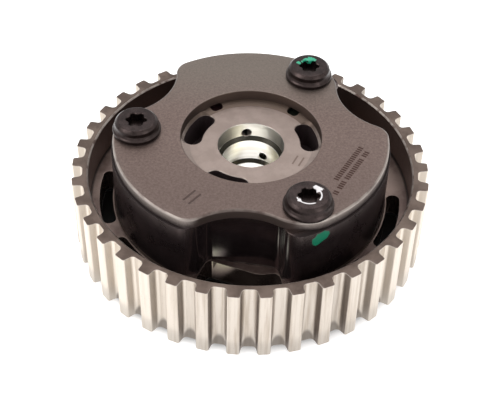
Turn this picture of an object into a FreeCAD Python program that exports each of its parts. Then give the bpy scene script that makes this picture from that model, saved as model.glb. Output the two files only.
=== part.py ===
"""Cam phaser with a toothed belt pulley, as a parametric document.

Frame: millimetres, +Z along the camshaft axis towards the front cover, origin on the axis at the
pulley's rear face. Angles are degrees, counted anticlockwise from +X as seen from the front.
"""
import FreeCAD, Part
import math
import os
import Sketcher
from FreeCAD import Placement, Rotation, Vector

doc = FreeCAD.newDocument("CamPhaser")
sheet = doc.addObject("Spreadsheet::Sheet", "Sizes")

# Driving dimensions, one cell each
SIZES = {
    # Toothed rim
    "tooth_count": 38,
    "belt_pitch": 8.0,
    "pitch_line_drop": 0.683,
    "tooth_depth": 2.8,
    "gap_root_width": 3.5,
    "gap_tip_width": 4.6,
    "gap_root_round": 1.1,
    "tooth_tip_round": 0.6,
    "tooth_phase": 0.86,
    "rim_width": 21.6,
    "rim_wall": 1.6,
    "rim_edge_break": 0.35,
    # Web of the pulley
    "web_floor_depth": 9.7,
    "web_thickness": 7.4,
    "lobe_window_ledge": 1.2,
    "window_rim_ledge": 2.45,
    "window_span": 30.0,
    "window_offset": 19.5,
    "window_end_round": 1.6,
    "scallop_window_rim_ledge": 5.3,
    "scallop_side_ledge": 0.9,
    "scallop_near_ledge": 0.6,
    "scallop_far_ledge": 1.7,
    "scallop_window_round": 1.6,
    "rear_boss_radius": 20.0,
    "rear_boss_height": 1.5,
    # Lobed housing
    "lobe_radius": 36.2,
    "lobe_angle": 205.0,
    "housing_height": 17.4,
    "housing_shoulder": 0.5,
    "housing_corner": 4.0,
    "scallop_span": 37.8,
    "scallop_lead": 1.5,
    "scallop_near_radius": 27.6,
    "scallop_far_radius": 29.6,
    "scallop_corner": 2.0,
    "chamber_wall": 3.8,
    "chamber_corner": 1.2,
    "chamber_lag": 7.0,
    # Front cover
    "cover_thickness": 2.8,
    "cover_scallop_radius": 28.6,
    "cover_scallop_curve": 14.0,
    "cover_corner": 5.0,
    "cover_edge_round": 0.7,
    "cover_hole_radius": 18.0,
    "cover_hole_break": 0.25,
    # Cover screws
    "screw_edge_distance": 6.2,
    "screw_lag": 26.2,
    "screw_shank_radius": 2.95,
    "screw_clearance": 0.35,
    "screw_thread_gap": 0.05,
    "screw_reach": 26.4,
    "flange_radius": 6.35,
    "flange_thickness": 1.3,
    "head_radius": 5.2,
    "head_height": 3.7,
    "head_break": 0.7,
    "recess_radius": 2.8,
    "recess_lobe": 0.8,
    "recess_depth": 2.3,
    # Rotor
    "rotor_end_gap": 0.05,
    "rotor_gap": 0.06,
    "rotor_hub_radius": 21.5,
    "vane_span": 22.0,
    "rotor_travel": 22.0,
    "vane_stop_gap": 0.4,
    "face_recess_depth": 0.6,
    "face_recess_slope": 1.5,
    "front_bore_radius": 8.7,
    "front_bore_length": 4.3,
    "middle_bore_radius": 7.7,
    "middle_bore_length": 6.4,
    "rear_bore_radius": 6.9,
    "bore_step": 0.95,
    "bore_mouth_break": 0.35,
    "journal_radius": 15.0,
    "journal_reach": 1.5,
    "seat_radius": 12.0,
    "seat_depth": 6.0,
    "oil_hole_radius": 1.18,
    "front_oil_height": 25.4,
    "front_oil_angle": 98.4,
    "rear_oil_height": 18.3,
    "rear_oil_angle": 185.0,
    "feed_groove_width": 2.0,
    "feed_groove_depth": 1.2,
    "kidney_inner_radius": 13.2,
    "kidney_outer_radius": 17.9,
    "kidney_depth": 7.5,
    "notch_width": 2.5,
    "notch_depth": 1.3,
    "notch_length": 3.4,
    # Timing hole in the rear seat
    "timing_hole_radius": 2.0,
    "timing_hole_depth": 4.0,
    "timing_hole_circle": 9.45,
    # Sealing strips and their leaf springs
    "seal_width": 2.2,
    "seal_height": 2.3,
    "seal_slot_depth": 3.4,
    "seal_gap": 0.03,
    "stator_seal_lead": 10.0,
    "leaf_thickness": 0.25,
    "leaf_end_gap": 1.2,
    # Lock pin, its spring, cap and bush
    "pin_circle_radius": 25.0,
    "pin_radius": 2.85,
    "pin_gap": 0.05,
    "pin_length": 9.4,
    "pin_nose_radius": 2.2,
    "pin_nose_length": 2.6,
    "pin_lift": 0.1,
    "spring_pocket_radius": 1.75,
    "spring_pocket_depth": 6.2,
    "spring_radius": 1.4,
    "spring_wire_radius": 0.22,
    "spring_turns": 7.5,
    "cap_thickness": 1.2,
    "cap_vent_radius": 0.6,
    "bush_radius": 4.1,
    "bush_length": 5.0,
    "bush_vent_radius": 1.3,
    # Dowels between pulley and housing
    "dowel_radius": 1.5,
    "dowel_length": 6.0,
    "dowel_circle_radius": 27.5,
    "dowel_lag": 15.0,
}

for row, (alias, value) in enumerate(SIZES.items(), start=1):
    sheet.set(f"A{row}", alias.replace("_", " "))
    sheet.set(f"B{row}", str(value))
    sheet.setAlias(f"B{row}", alias)
doc.recompute()


def size(alias):
    """Value of one cell of the sheet."""
    return float(sheet.get(alias))


# Levels and radii that follow from the driving dimensions, as expressions
WEB_TOP = "Sizes.rim_width - Sizes.web_floor_depth"
WEB_BOTTOM = WEB_TOP + " - Sizes.web_thickness"
HOUSING_TOP = WEB_TOP + " + Sizes.housing_height"
COVER_TOP = HOUSING_TOP + " + Sizes.cover_thickness"
ROTOR_BOTTOM = WEB_TOP + " + Sizes.rotor_end_gap"
ROTOR_TOP = HOUSING_TOP + " - Sizes.rotor_end_gap"
ROTOR_HEIGHT = "Sizes.housing_height - 2 * Sizes.rotor_end_gap"
JOURNAL_BOTTOM = WEB_BOTTOM + " - Sizes.journal_reach"
SEAT_TOP = JOURNAL_BOTTOM + " + Sizes.seat_depth"
TIP_RADIUS = "Sizes.tooth_count * Sizes.belt_pitch / (2 * pi) - Sizes.pitch_line_drop"
RIM_INNER_RADIUS = TIP_RADIUS + " - Sizes.tooth_depth - Sizes.rim_wall"
THREAD_RADIUS = "Sizes.screw_shank_radius + Sizes.screw_thread_gap"
SCREW_HOLE_RADIUS = "Sizes.screw_shank_radius + Sizes.screw_clearance"

# The same values as numbers, for outlines
tip_radius = size("tooth_count") * size("belt_pitch") / (2 * math.pi) - size("pitch_line_drop")
root_radius = tip_radius - size("tooth_depth")
rim_inner_radius = root_radius - size("rim_wall")
window_inner = size("lobe_radius") + size("lobe_window_ledge")
window_outer = rim_inner_radius - size("window_rim_ledge")
scallop_outer = rim_inner_radius - size("scallop_window_rim_ledge")
chamber_radius = size("lobe_radius") - size("chamber_wall")
screw_circle = size("lobe_radius") - size("screw_edge_distance")
web_top = size("rim_width") - size("web_floor_depth")
journal_bottom = web_top - size("web_thickness") - size("journal_reach")
seat_top = journal_bottom + size("seat_depth")
cover_top = web_top + size("housing_height") + size("cover_thickness")
rotor_bottom = web_top + size("rotor_end_gap")
rotor_top = web_top + size("housing_height") - size("rotor_end_gap")
face_level = rotor_top - size("face_recess_depth")
vane_tip = chamber_radius - size("rotor_gap")
hub_hole = size("rotor_hub_radius") + size("rotor_gap")
seal_slot_half = size("seal_width") / 2 + size("seal_gap")

# Three lobes with a hollow between each pair; screws and chambers lie beside the lobes' middles
LOBES = 3
LOBE_STEP = 360.0 / LOBES
hollow_angle = size("lobe_angle") + LOBE_STEP / 2
hollow_start = size("scallop_lead") - size("scallop_span") / 2
hollow_end = size("scallop_lead") + size("scallop_span") / 2
screw_angle = size("lobe_angle") - size("screw_lag")
chamber_span = size("vane_span") + size("rotor_travel") + 2 * size("vane_stop_gap")
chamber_angle = size("lobe_angle") - size("chamber_lag") + chamber_span / 2
vane_angle = chamber_angle + chamber_span / 2 - size("vane_stop_gap") - size("vane_span") / 2
stator_seal_angle = hollow_angle + size("stator_seal_lead")
dowel_angles = [size("lobe_angle") - size("dowel_lag") + LOBE_STEP * step for step in (1, 2)]
tooth_gap_angle = size("tooth_phase") + 180.0 / size("tooth_count")


# Plane outlines, given as closed sets of edges

def polar(radius, degrees):
    """Point of the XY plane."""
    turn = math.radians(degrees)
    return (radius * math.cos(turn), radius * math.sin(turn))


def vec(point):
    return Vector(point[0], point[1], 0)


def heading(start, end):
    """Direction from one point to another, in degrees."""
    return math.degrees(math.atan2(end[1] - start[1], end[0] - start[0]))


def arc(centre, radius, first, last):
    """Arc that runs anticlockwise between two angles in degrees."""
    circle = Part.Circle(vec(centre), Vector(0, 0, 1), radius)
    return Part.ArcOfCircle(circle, math.radians(first), math.radians(last))


def rounded(corners, closed=True):
    """Outline or open path through corners (x, y, round); a round of 0 stays sharp."""
    ends = []
    for index, (x, y, radius) in enumerate(corners):
        here = vec((x, y))
        if radius <= 0:
            ends.append((here, here, None))
            continue
        back = (vec(corners[index - 1]) - here).normalize()
        ahead = (vec(corners[(index + 1) % len(corners)]) - here).normalize()
        half = back.getAngle(ahead) / 2
        reach = radius / math.tan(half)
        middle = (back + ahead).normalize()
        top = here + middle * (radius / math.sin(half) - radius)
        ends.append((here + back * reach, here + ahead * reach, top))
    edges = []
    for index, (start, finish, top) in enumerate(ends):
        if top is not None:
            edges.append(Part.Arc(start, top, finish))
        if index == len(ends) - 1 and not closed:
            break
        following = ends[(index + 1) % len(ends)][0]
        if (following - finish).Length > 1e-6:
            edges.append(Part.LineSegment(finish, following))
    return edges


def box_outline(inner, outer, half_width, corner=0.0):
    """Rectangle that lies along the local X axis."""
    spots = ((inner, -half_width), (outer, -half_width), (outer, half_width), (inner, half_width))
    return rounded([(x, y, corner) for x, y in spots])


def both_sides(arcs, lines):
    """Edges above the local X axis and their mirror images below it."""
    edges = []
    for centre, radius, first, last in arcs:
        edges.append(arc(centre, radius, first, last))
        edges.append(arc((centre[0], -centre[1]), radius, -last, -first))
    for start, end in lines:
        edges.append(Part.LineSegment(vec(start), vec(end)))
        edges.append(Part.LineSegment(vec((start[0], -start[1])), vec((end[0], -end[1]))))
    return edges


def sector(inner, outer, half_span, corner):
    """Ring sector about the local X axis with rounded corners."""
    far = outer - corner
    near = inner + corner
    turn_far = math.degrees(math.asin(corner / far))
    turn_near = math.degrees(math.asin(corner / near))
    arcs = [
        (polar(far, half_span - turn_far), corner, half_span - turn_far, half_span + 90),
        (polar(near, half_span - turn_near), corner, half_span + 90, half_span - turn_near + 180),
    ]
    side_top = polar(math.sqrt(far ** 2 - corner ** 2), half_span)
    side_low = polar(math.sqrt(near ** 2 - corner ** 2), half_span)
    edges = both_sides(arcs, [(side_top, side_low)])
    edges.append(arc((0, 0), outer, turn_far - half_span, half_span - turn_far))
    edges.append(arc((0, 0), inner, turn_near - half_span, half_span - turn_near))
    return edges


def kidney(inner, outer, half_span):
    """Round-ended slot along a circle, about the local X axis."""
    end = (outer - inner) / 2
    middle = (outer + inner) / 2
    edges = both_sides([(polar(middle, half_span), end, half_span, half_span + 180)], [])
    edges.append(arc((0, 0), outer, -half_span, half_span))
    edges.append(arc((0, 0), inner, -half_span, half_span))
    return edges


def cover_outline():
    """Three lobes with a round hollow between each pair, all arcs tangent."""
    corner = size("cover_corner")
    curve = size("cover_scallop_curve")
    reach = size("cover_scallop_radius") + curve
    inward = size("lobe_radius") - corner
    cosine = (inward ** 2 + reach ** 2 - (curve + corner) ** 2) / (2 * inward * reach)
    spread = math.degrees(math.acos(cosine))
    aim = heading(polar(inward, spread), (reach, 0))
    edges = []
    for index in range(LOBES):
        here = hollow_angle + LOBE_STEP * index
        edges.append(arc(polar(inward, here - spread), corner, here - spread, here - aim))
        edges.append(arc(polar(reach, here), curve, here + aim + 180, here + 180 - aim))
        edges.append(arc(polar(inward, here + spread), corner, here + aim, here + spread))
        edges.append(arc((0, 0), size("lobe_radius"), here + spread, here + LOBE_STEP - spread))
    return edges


def housing_outline():
    """Three lobes; the hollow between each pair has straight sides and a leaning floor."""
    outer = size("lobe_radius") + size("housing_shoulder")
    corner = size("housing_corner")
    inward = outer - corner
    lean = math.degrees(math.asin(corner / inward))
    bend = math.sqrt(inward ** 2 - corner ** 2)
    edges = []
    for index in range(LOBES):
        start = hollow_angle + hollow_start + LOBE_STEP * index
        end = hollow_angle + hollow_end + LOBE_STEP * index
        edges.append(arc(polar(inward, start - lean), corner, start - lean, start + 90))
        edges += rounded([
            (*polar(bend, start), 0),
            (*polar(size("scallop_near_radius"), start), size("scallop_corner")),
            (*polar(size("scallop_far_radius"), end), size("scallop_corner")),
            (*polar(bend, end), 0),
        ], closed=False)
        edges.append(arc(polar(inward, end + lean), corner, end - 90, end + lean))
        edges.append(arc((0, 0), outer, end + lean, start + LOBE_STEP - lean))
    return edges


def scallop_window():
    """Window at the foot of a hollow; its inner side leaves a ledge that widens towards one side."""
    corner = size("scallop_window_round")
    near = size("scallop_near_radius") + size("scallop_near_ledge")
    far = size("scallop_far_radius") + size("scallop_far_ledge")
    start = hollow_start + size("scallop_side_ledge")
    end = hollow_end - size("scallop_side_ledge")
    reach = scallop_outer - corner
    lean = math.degrees(math.asin(corner / reach))
    side = math.sqrt(reach ** 2 - corner ** 2)
    edges = rounded([
        (*polar(side, start), 0),
        (*polar(near, start), corner),
        (*polar(far, hollow_end / 2), 4 * corner),
        (*polar(far, end), corner),
        (*polar(side, end), 0),
    ], closed=False)
    edges.append(arc(polar(reach, start + lean), corner, start - 90, start + lean))
    edges.append(arc((0, 0), scallop_outer, start + lean, end - lean))
    edges.append(arc(polar(reach, end - lean), corner, end - lean, end + 90))
    return edges


def six_lobes(tip, lobe):
    """Closed outline of six round lobes joined by six hollows of the same radius."""
    centre = tip - lobe
    reach = centre * math.cos(math.radians(30))
    reach += math.sqrt(4 * lobe ** 2 - (centre * math.sin(math.radians(30))) ** 2)
    swing = heading((centre, 0), polar(reach, 30))
    edges = []
    for here in range(0, 360, 60):
        edges.append(arc(polar(centre, here), lobe, here - swing, here + swing))
        edges.append(arc(polar(reach, here + 30), lobe, here + 240 - swing, here + 180 + swing))
    return edges


# Features of a body

def origin_item(body, role):
    return next(item for item in body.Origin.OriginFeatures if item.Role == role)


def add_body(name):
    body = doc.addObject("PartDesign::Body", name)
    body.Label = name
    return body


def add_sketch(body, name, edges=(), plane="XY_Plane", level=None, turn=0.0):
    """Sketch on an origin plane, lifted to a level and turned about the plane's normal."""
    sketch = body.newObject("Sketcher::SketchObject", name)
    sketch.AttachmentSupport = [(origin_item(body, plane), "")]
    sketch.MapMode = "FlatFace"
    sketch.AttachmentOffset = Placement(Vector(0, 0, 0), Rotation(Vector(0, 0, 1), turn))
    if level is not None:
        sketch.setExpression(".AttachmentOffset.Base.z", level)
    for edge in edges:
        sketch.addGeometry(edge, False)
    return sketch


def add_circle(sketch, radius, distance=0.0):
    """Circle on the sketch's X axis; the sheet drives its radius."""
    index = sketch.addGeometry(Part.Circle(Vector(distance, 0, 0), Vector(0, 0, 1), 1.0), False)
    number = sketch.addConstraint(Sketcher.Constraint("Radius", index, 1.0))
    sketch.setExpression(f"Constraints[{number}]", radius)


def add_pad(body, name, sketch, length, downward=False):
    pad = body.newObject("PartDesign::Pad", name)
    pad.Profile = sketch
    pad.Reversed = downward
    pad.setExpression("Length", length)
    body.Tip = pad
    return pad


def add_pocket(body, name, sketch, length, upward=False):
    """Cut downwards from the sketch, or upwards where asked."""
    pocket = body.newObject("PartDesign::Pocket", name)
    pocket.Profile = sketch
    pocket.Reversed = upward
    pocket.setExpression("Length", length)
    body.Tip = pocket
    return pocket


def add_turning(body, kind, name, corners):
    """Revolution or groove about the body's Z axis, from a half section of corners."""
    sketch = add_sketch(body, name + "Profile", rounded(corners), plane="XZ_Plane")
    turning = body.newObject(f"PartDesign::{kind}", name)
    turning.Profile = sketch
    turning.ReferenceAxis = (origin_item(body, "Z_Axis"), [""])
    turning.Angle = 360
    body.Tip = turning
    return turning


def add_pattern(body, name, features, count=None):
    """Repeat features round the Z axis, three times unless the sheet gives another count."""
    pattern = body.newObject("PartDesign::PolarPattern", name)
    pattern.Originals = features
    pattern.Axis = (origin_item(body, "Z_Axis"), [""])
    pattern.Angle = 360
    pattern.Occurrences = LOBES
    if count is not None:
        pattern.setExpression("Occurrences", count)
    pattern.Refine = False
    body.Tip = pattern
    return pattern


def edges_at(shape, level, closed, least_radius=0.0):
    """Names of the flat edges at one level, either whole circles or open ones."""
    names = []
    for number, edge in enumerate(shape.Edges, start=1):
        box = edge.BoundBox
        flat = abs(box.ZMin - level) < 1e-4 and abs(box.ZMax - level) < 1e-4
        if flat and edge.isClosed() == closed and box.XMax - box.XMin > 2 * least_radius:
            names.append(f"Edge{number}")
    return names


def break_edges(body, kind, name, names, amount):
    """Fillet or chamfer on the edges named."""
    base = body.Tip
    feature = body.newObject(f"PartDesign::{kind}", name)
    feature.Base = (base, names)
    feature.setExpression("Radius" if kind == "Fillet" else "Size", amount)
    body.Tip = feature


# Toothed pulley: rim, web and hub of one sintered piece

def make_pulley():
    body = add_body("belt_pulley")
    rim = add_sketch(body, "RimOutline")
    add_circle(rim, TIP_RADIUS)
    add_pad(body, "Rim", rim, "Sizes.rim_width")
    front = add_sketch(body, "FrontHollowOutline", level="Sizes.rim_width")
    add_circle(front, RIM_INNER_RADIUS)
    add_pocket(body, "FrontHollow", front, "Sizes.web_floor_depth")
    rear = add_sketch(body, "RearHollowOutline")
    add_circle(rear, RIM_INNER_RADIUS)
    add_circle(rear, "Sizes.rear_boss_radius")
    add_pocket(body, "RearHollow", rear, WEB_BOTTOM, upward=True)
    boss = add_sketch(body, "RearBossOutline")
    add_circle(boss, "Sizes.rear_boss_radius + Sizes.rim_wall")
    add_pocket(body, "RearBoss", boss, WEB_BOTTOM + " - Sizes.rear_boss_height", upward=True)
    hole = add_sketch(body, "JournalHoleOutline", level="Sizes.rim_width")
    add_circle(hole, "Sizes.journal_radius + Sizes.rotor_gap")
    add_pocket(body, "JournalHole", hole, "Sizes.rim_width")
    doc.recompute()
    mouth = edges_at(body.Shape, size("rim_width"), True, 0.5 * (rim_inner_radius + size("journal_radius")))
    inner = [name for name in mouth if body.Shape.getElement(name).BoundBox.XMax < root_radius]
    break_edges(body, "Chamfer", "RimEdge", inner, "Sizes.rim_edge_break")
    gap = add_sketch(body, "ToothGapOutline", tooth_gap(), level="Sizes.rim_width", turn=tooth_gap_angle)
    cut = add_pocket(body, "ToothGap", gap, "Sizes.rim_width")
    add_pattern(body, "ToothGaps", [cut], "Sizes.tooth_count")
    add_windows(body)
    add_web_holes(body)
    return body


def tooth_gap():
    """Belt tooth's gap: flat root, straight leaning flanks, rounded tips."""
    half_tip = size("gap_tip_width") / 2
    half_root = size("gap_root_width") / 2
    mouth = half_tip + 2 * size("tooth_tip_round")
    land = math.sqrt(tip_radius ** 2 - mouth ** 2)
    lip = math.sqrt(tip_radius ** 2 - half_tip ** 2)
    outside = tip_radius + 1
    right = [
        (outside, mouth, 0),
        (land, mouth, 0),
        (lip, half_tip, size("tooth_tip_round")),
        (root_radius, half_root, size("gap_root_round")),
    ]
    left = [(x, -y, radius) for x, y, radius in reversed(right)]
    return rounded(right + left)


def add_windows(body):
    """Two long windows beyond each lobe and one below each hollow, through the web."""
    cuts = []
    half_span = size("window_span") / 2
    long_window = sector(window_inner, window_outer, half_span, size("window_end_round"))
    for name, side in (("LobeWindowA", -1), ("LobeWindowB", 1)):
        turn = size("lobe_angle") + side * size("window_offset")
        sketch = add_sketch(body, name + "Outline", long_window, level=WEB_TOP, turn=turn)
        cuts.append(add_pocket(body, name, sketch, "Sizes.web_thickness"))
    sketch = add_sketch(body, "ScallopWindowOutline", scallop_window(), level=WEB_TOP, turn=hollow_angle)
    cuts.append(add_pocket(body, "ScallopWindow", sketch, "Sizes.web_thickness"))
    add_pattern(body, "Windows", cuts)


def add_web_holes(body):
    """Threaded screw holes, dowel seats and the lock bush's seat with its vent."""
    thread = add_sketch(body, "ScrewThreadOutline", level=WEB_TOP, turn=screw_angle)
    add_circle(thread, THREAD_RADIUS, screw_circle)
    drilled = add_pocket(body, "ScrewThread", thread, "Sizes.web_thickness")
    add_pattern(body, "ScrewThreads", [drilled])
    for index, turn in enumerate(dowel_angles):
        seat = add_sketch(body, f"DowelSeatOutline{index}", level=WEB_TOP, turn=turn)
        add_circle(seat, "Sizes.dowel_radius", size("dowel_circle_radius"))
        add_pocket(body, f"DowelSeat{index}", seat, "Sizes.dowel_length / 2")
    seat = add_sketch(body, "BushSeatOutline", level=WEB_TOP, turn=vane_angle)
    add_circle(seat, "Sizes.bush_radius", size("pin_circle_radius"))
    add_pocket(body, "BushSeat", seat, "Sizes.bush_length")
    vent = add_sketch(body, "BushVentOutline", level=WEB_TOP, turn=vane_angle)
    add_circle(vent, "Sizes.bush_vent_radius", size("pin_circle_radius"))
    add_pocket(body, "BushVent", vent, "Sizes.web_thickness")


# Lobed stator housing with the three oil chambers

def make_housing():
    body = add_body("stator_housing")
    outline = add_sketch(body, "HousingOutline", housing_outline(), level=WEB_TOP)
    add_pad(body, "HousingWall", outline, "Sizes.housing_height")
    hub = add_sketch(body, "HubHoleOutline", level=HOUSING_TOP)
    add_circle(hub, "Sizes.rotor_hub_radius + Sizes.rotor_gap")
    add_pocket(body, "HubHole", hub, "Sizes.housing_height")
    inner = size("rotor_hub_radius") - 2 * size("chamber_corner")
    room = sector(inner, chamber_radius, chamber_span / 2, size("chamber_corner"))
    chamber = add_sketch(body, "ChamberOutline", room, level=HOUSING_TOP, turn=chamber_angle)
    slot_floor = hub_hole + size("seal_slot_depth")
    slot_outline = box_outline(size("rotor_hub_radius") - 1, slot_floor, seal_slot_half)
    slot = add_sketch(body, "SealSlotOutline", slot_outline, level=HOUSING_TOP, turn=stator_seal_angle)
    hole = add_sketch(body, "ScrewHoleOutline", level=HOUSING_TOP, turn=screw_angle)
    add_circle(hole, SCREW_HOLE_RADIUS, screw_circle)
    cuts = [
        add_pocket(body, "Chamber", chamber, "Sizes.housing_height"),
        add_pocket(body, "SealSlot", slot, "Sizes.housing_height"),
        add_pocket(body, "ScrewHole", hole, "Sizes.housing_height"),
    ]
    add_pattern(body, "ChamberSet", cuts)
    for index, turn in enumerate(dowel_angles):
        seat = add_sketch(body, f"DowelHoleOutline{index}", level=WEB_TOP, turn=turn)
        add_circle(seat, "Sizes.dowel_radius", size("dowel_circle_radius"))
        add_pocket(body, f"DowelHole{index}", seat, "Sizes.dowel_length / 2", upward=True)
    return body


# Front cover: ground plate with the wide centre hole

def make_cover():
    body = add_body("front_cover")
    outline = add_sketch(body, "CoverOutline", cover_outline(), level=HOUSING_TOP)
    add_pad(body, "CoverPlate", outline, "Sizes.cover_thickness")
    hole = add_sketch(body, "CoverHoleOutline", level=COVER_TOP)
    add_circle(hole, "Sizes.cover_hole_radius")
    add_pocket(body, "CoverHole", hole, "Sizes.cover_thickness")
    screw = add_sketch(body, "CoverScrewOutline", level=COVER_TOP, turn=screw_angle)
    add_circle(screw, SCREW_HOLE_RADIUS, screw_circle)
    drilled = add_pocket(body, "CoverScrewHole", screw, "Sizes.cover_thickness")
    add_pattern(body, "CoverScrewHoles", [drilled])
    doc.recompute()
    rim = edges_at(body.Shape, cover_top, False)
    break_edges(body, "Fillet", "CoverEdge", rim, "Sizes.cover_edge_round")
    doc.recompute()
    mouth = edges_at(body.Shape, cover_top, True, size("cover_hole_radius") / 2)
    break_edges(body, "Chamfer", "CoverHoleEdge", mouth, "Sizes.cover_hole_break")
    return body


# Flange-head cover screw with a six-lobe recess

def make_screw(index):
    name = f"cover_screw_{index + 1}"
    body = add_body(name)
    shank = size("screw_shank_radius")
    flange = size("flange_radius")
    head = size("head_radius")
    cut = size("head_break")
    thick = size("flange_thickness")
    high = size("head_height")
    reach = size("screw_reach")
    add_turning(body, "Revolution", f"ScrewTurning{index}", [
        (0, -reach, 0), (shank - cut, -reach, 0), (shank, cut - reach, 0), (shank, 0, 0),
        (flange - cut / 2, 0, 0), (flange, cut / 2, 0), (flange, thick - cut / 2, 0),
        (flange - cut / 2, thick, 0), (head, thick + cut / 3, 0), (head, high - cut, cut / 2),
        (head - cut, high, 0), (0, high, 0),
    ])
    outline = six_lobes(size("recess_radius"), size("recess_lobe"))
    recess = add_sketch(body, f"RecessOutline{index}", outline, level="Sizes.head_height")
    add_pocket(body, f"Recess{index}", recess, "Sizes.recess_depth")
    turn = screw_angle + LOBE_STEP * index
    spot = polar(screw_circle, turn)
    body.Placement = Placement(vec(spot), Rotation(Vector(0, 0, 1), turn))
    body.setExpression(".Placement.Base.z", COVER_TOP)
    return body


# Rotor: hub with three vanes, rear journal, stepped bore and oil ways
KIDNEYS = ((158.0, 15.2), (13.5, 12.0), (247.5, 12.5))
NOTCH_ANGLES = (50.6, 123.0)


def make_rotor_blank():
    body = add_body("rotor_blank")
    hub = add_sketch(body, "HubOutline", level=ROTOR_BOTTOM)
    add_circle(hub, "Sizes.rotor_hub_radius")
    add_pad(body, "Hub", hub, ROTOR_HEIGHT)
    corner = size("chamber_corner")
    blade_outline = sector(size("rotor_hub_radius") - 3 * corner, vane_tip, size("vane_span") / 2, corner)
    blade_sketch = add_sketch(body, "VaneOutline", blade_outline, level=ROTOR_BOTTOM, turn=vane_angle)
    blade = add_pad(body, "Vane", blade_sketch, ROTOR_HEIGHT)
    slot_outline = box_outline(vane_tip - size("seal_slot_depth"), vane_tip + 1, seal_slot_half)
    slot = add_sketch(body, "TipSlotOutline", slot_outline, level=ROTOR_TOP, turn=vane_angle)
    add_pattern(body, "Vanes", [blade, add_pocket(body, "TipSlot", slot, ROTOR_HEIGHT)])
    journal = add_sketch(body, "JournalOutline", level=ROTOR_BOTTOM)
    add_circle(journal, "Sizes.journal_radius")
    add_pad(body, "Journal", journal, f"{ROTOR_BOTTOM} - ({JOURNAL_BOTTOM})", downward=True)
    add_turning(body, "Groove", "Bore", bore_profile())
    add_face_pockets(body)
    add_oil_ways(body)
    pin = add_sketch(body, "PinHoleOutline", level=ROTOR_TOP, turn=vane_angle)
    add_circle(pin, "Sizes.pin_radius + Sizes.pin_gap", size("pin_circle_radius"))
    add_pocket(body, "PinHole", pin, ROTOR_HEIGHT)
    timing = add_sketch(body, "TimingHoleOutline", level=SEAT_TOP, turn=vane_angle)
    add_circle(timing, "Sizes.timing_hole_radius", size("timing_hole_circle"))
    add_pocket(body, "TimingHole", timing, "Sizes.timing_hole_depth", upward=True)
    return body


def bore_profile():
    """Half section of all that is turned out of the rotor, from front face to rear seat."""
    above = rotor_top + 1
    below = journal_bottom - 1
    hole = size("cover_hole_radius")
    front = size("front_bore_radius")
    middle = size("middle_bore_radius")
    rear = size("rear_bore_radius")
    step = size("bore_step")
    mouth = size("bore_mouth_break")
    seat = size("seat_radius")
    front_end = face_level - size("front_bore_length")
    middle_end = front_end - step - size("middle_bore_length")
    return [
        (0, above, 0), (hole, above, 0), (hole, rotor_top, 0),
        (hole - size("face_recess_slope"), face_level, 0), (front + mouth, face_level, 0),
        (front, face_level - mouth, 0), (front, front_end, 0), (middle, front_end - step, 0),
        (middle, middle_end, 0), (rear, middle_end - step, 0), (rear, seat_top, 0), (seat, seat_top, 0),
        (seat, journal_bottom + mouth, 0), (seat + mouth, journal_bottom, 0), (seat + mouth, below, 0),
        (0, below, 0),
    ]


def add_face_pockets(body):
    """Kidney pockets and vent notches that open in the front face."""
    for index, (turn, half_span) in enumerate(KIDNEYS):
        outline = kidney(size("kidney_inner_radius"), size("kidney_outer_radius"), half_span)
        sketch = add_sketch(body, f"KidneyOutline{index}", outline, level=ROTOR_TOP, turn=turn)
        add_pocket(body, f"Kidney{index}", sketch, "Sizes.face_recess_depth + Sizes.kidney_depth")
    for index, turn in enumerate(NOTCH_ANGLES):
        inner = size("cover_hole_radius") - size("face_recess_slope")
        half = size("notch_width") / 2
        outline = box_outline(inner, inner + size("notch_length"), half, half / 2)
        sketch = add_sketch(body, f"NotchOutline{index}", outline, level=ROTOR_TOP, turn=turn)
        add_pocket(body, f"Notch{index}", sketch, "Sizes.notch_depth")


def add_oil_ways(body):
    """Rising galleries and the grooves that lead from them to the far side of each vane."""
    line = size("kidney_outer_radius") - size("oil_hole_radius")
    gallery = add_sketch(body, "GalleryOutline", level=ROTOR_BOTTOM, turn=size("rear_oil_angle"))
    add_circle(gallery, "Sizes.oil_hole_radius", line)
    rising = add_pocket(body, "Gallery", gallery, f"Sizes.rear_oil_height - ({ROTOR_BOTTOM})", upward=True)
    half = size("feed_groove_width") / 2
    outlet = vane_angle - LOBE_STEP + size("vane_span") / 2 + 1
    half_span = (size("rear_oil_angle") - outlet) / 2
    ring = add_sketch(body, "FeedGrooveOutline", kidney(line - half, line + half, half_span),
                      level=ROTOR_BOTTOM, turn=outlet + half_span)
    curved = add_pocket(body, "FeedGroove", ring, "Sizes.feed_groove_depth", upward=True)
    run_out = add_sketch(body, "FeedOutletOutline", box_outline(line, size("rotor_hub_radius") + 1, half),
                         level=ROTOR_BOTTOM, turn=outlet)
    straight = add_pocket(body, "FeedOutlet", run_out, "Sizes.feed_groove_depth", upward=True)
    add_pattern(body, "OilWays", [rising, curved, straight])


def make_rotor():
    """The blank, with two rows of radial oil holes drilled through its bore."""
    blank = make_rotor_blank()
    drills = []
    rows = (
        ("FrontOil", "front_oil_height", size("front_oil_angle"), size("rotor_hub_radius") + 1),
        ("RearOil", "rear_oil_height", size("rear_oil_angle"), size("kidney_outer_radius")),
    )
    for name, height, angle, reach in rows:
        for index in range(LOBES):
            drill = doc.addObject("Part::Cylinder", f"{name}{index}")
            drill.setExpression("Radius", "Sizes.oil_hole_radius")
            drill.Height = reach
            turn = Rotation(Vector(0, 0, 1), angle + LOBE_STEP * index)
            drill.Placement = Placement(Vector(0, 0, 0), turn * Rotation(Vector(0, 1, 0), 90))
            drill.setExpression(".Placement.Base.z", f"Sizes.{height}")
            drills.append(drill)
    tools = doc.addObject("Part::MultiFuse", "OilDrills")
    tools.Shapes = drills
    rotor = doc.addObject("Part::Cut", "rotor")
    rotor.Label = "rotor"
    rotor.Base = blank
    rotor.Tool = tools
    return rotor


# Sealing strips, each pushed against its wall by a bowed leaf spring

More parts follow.
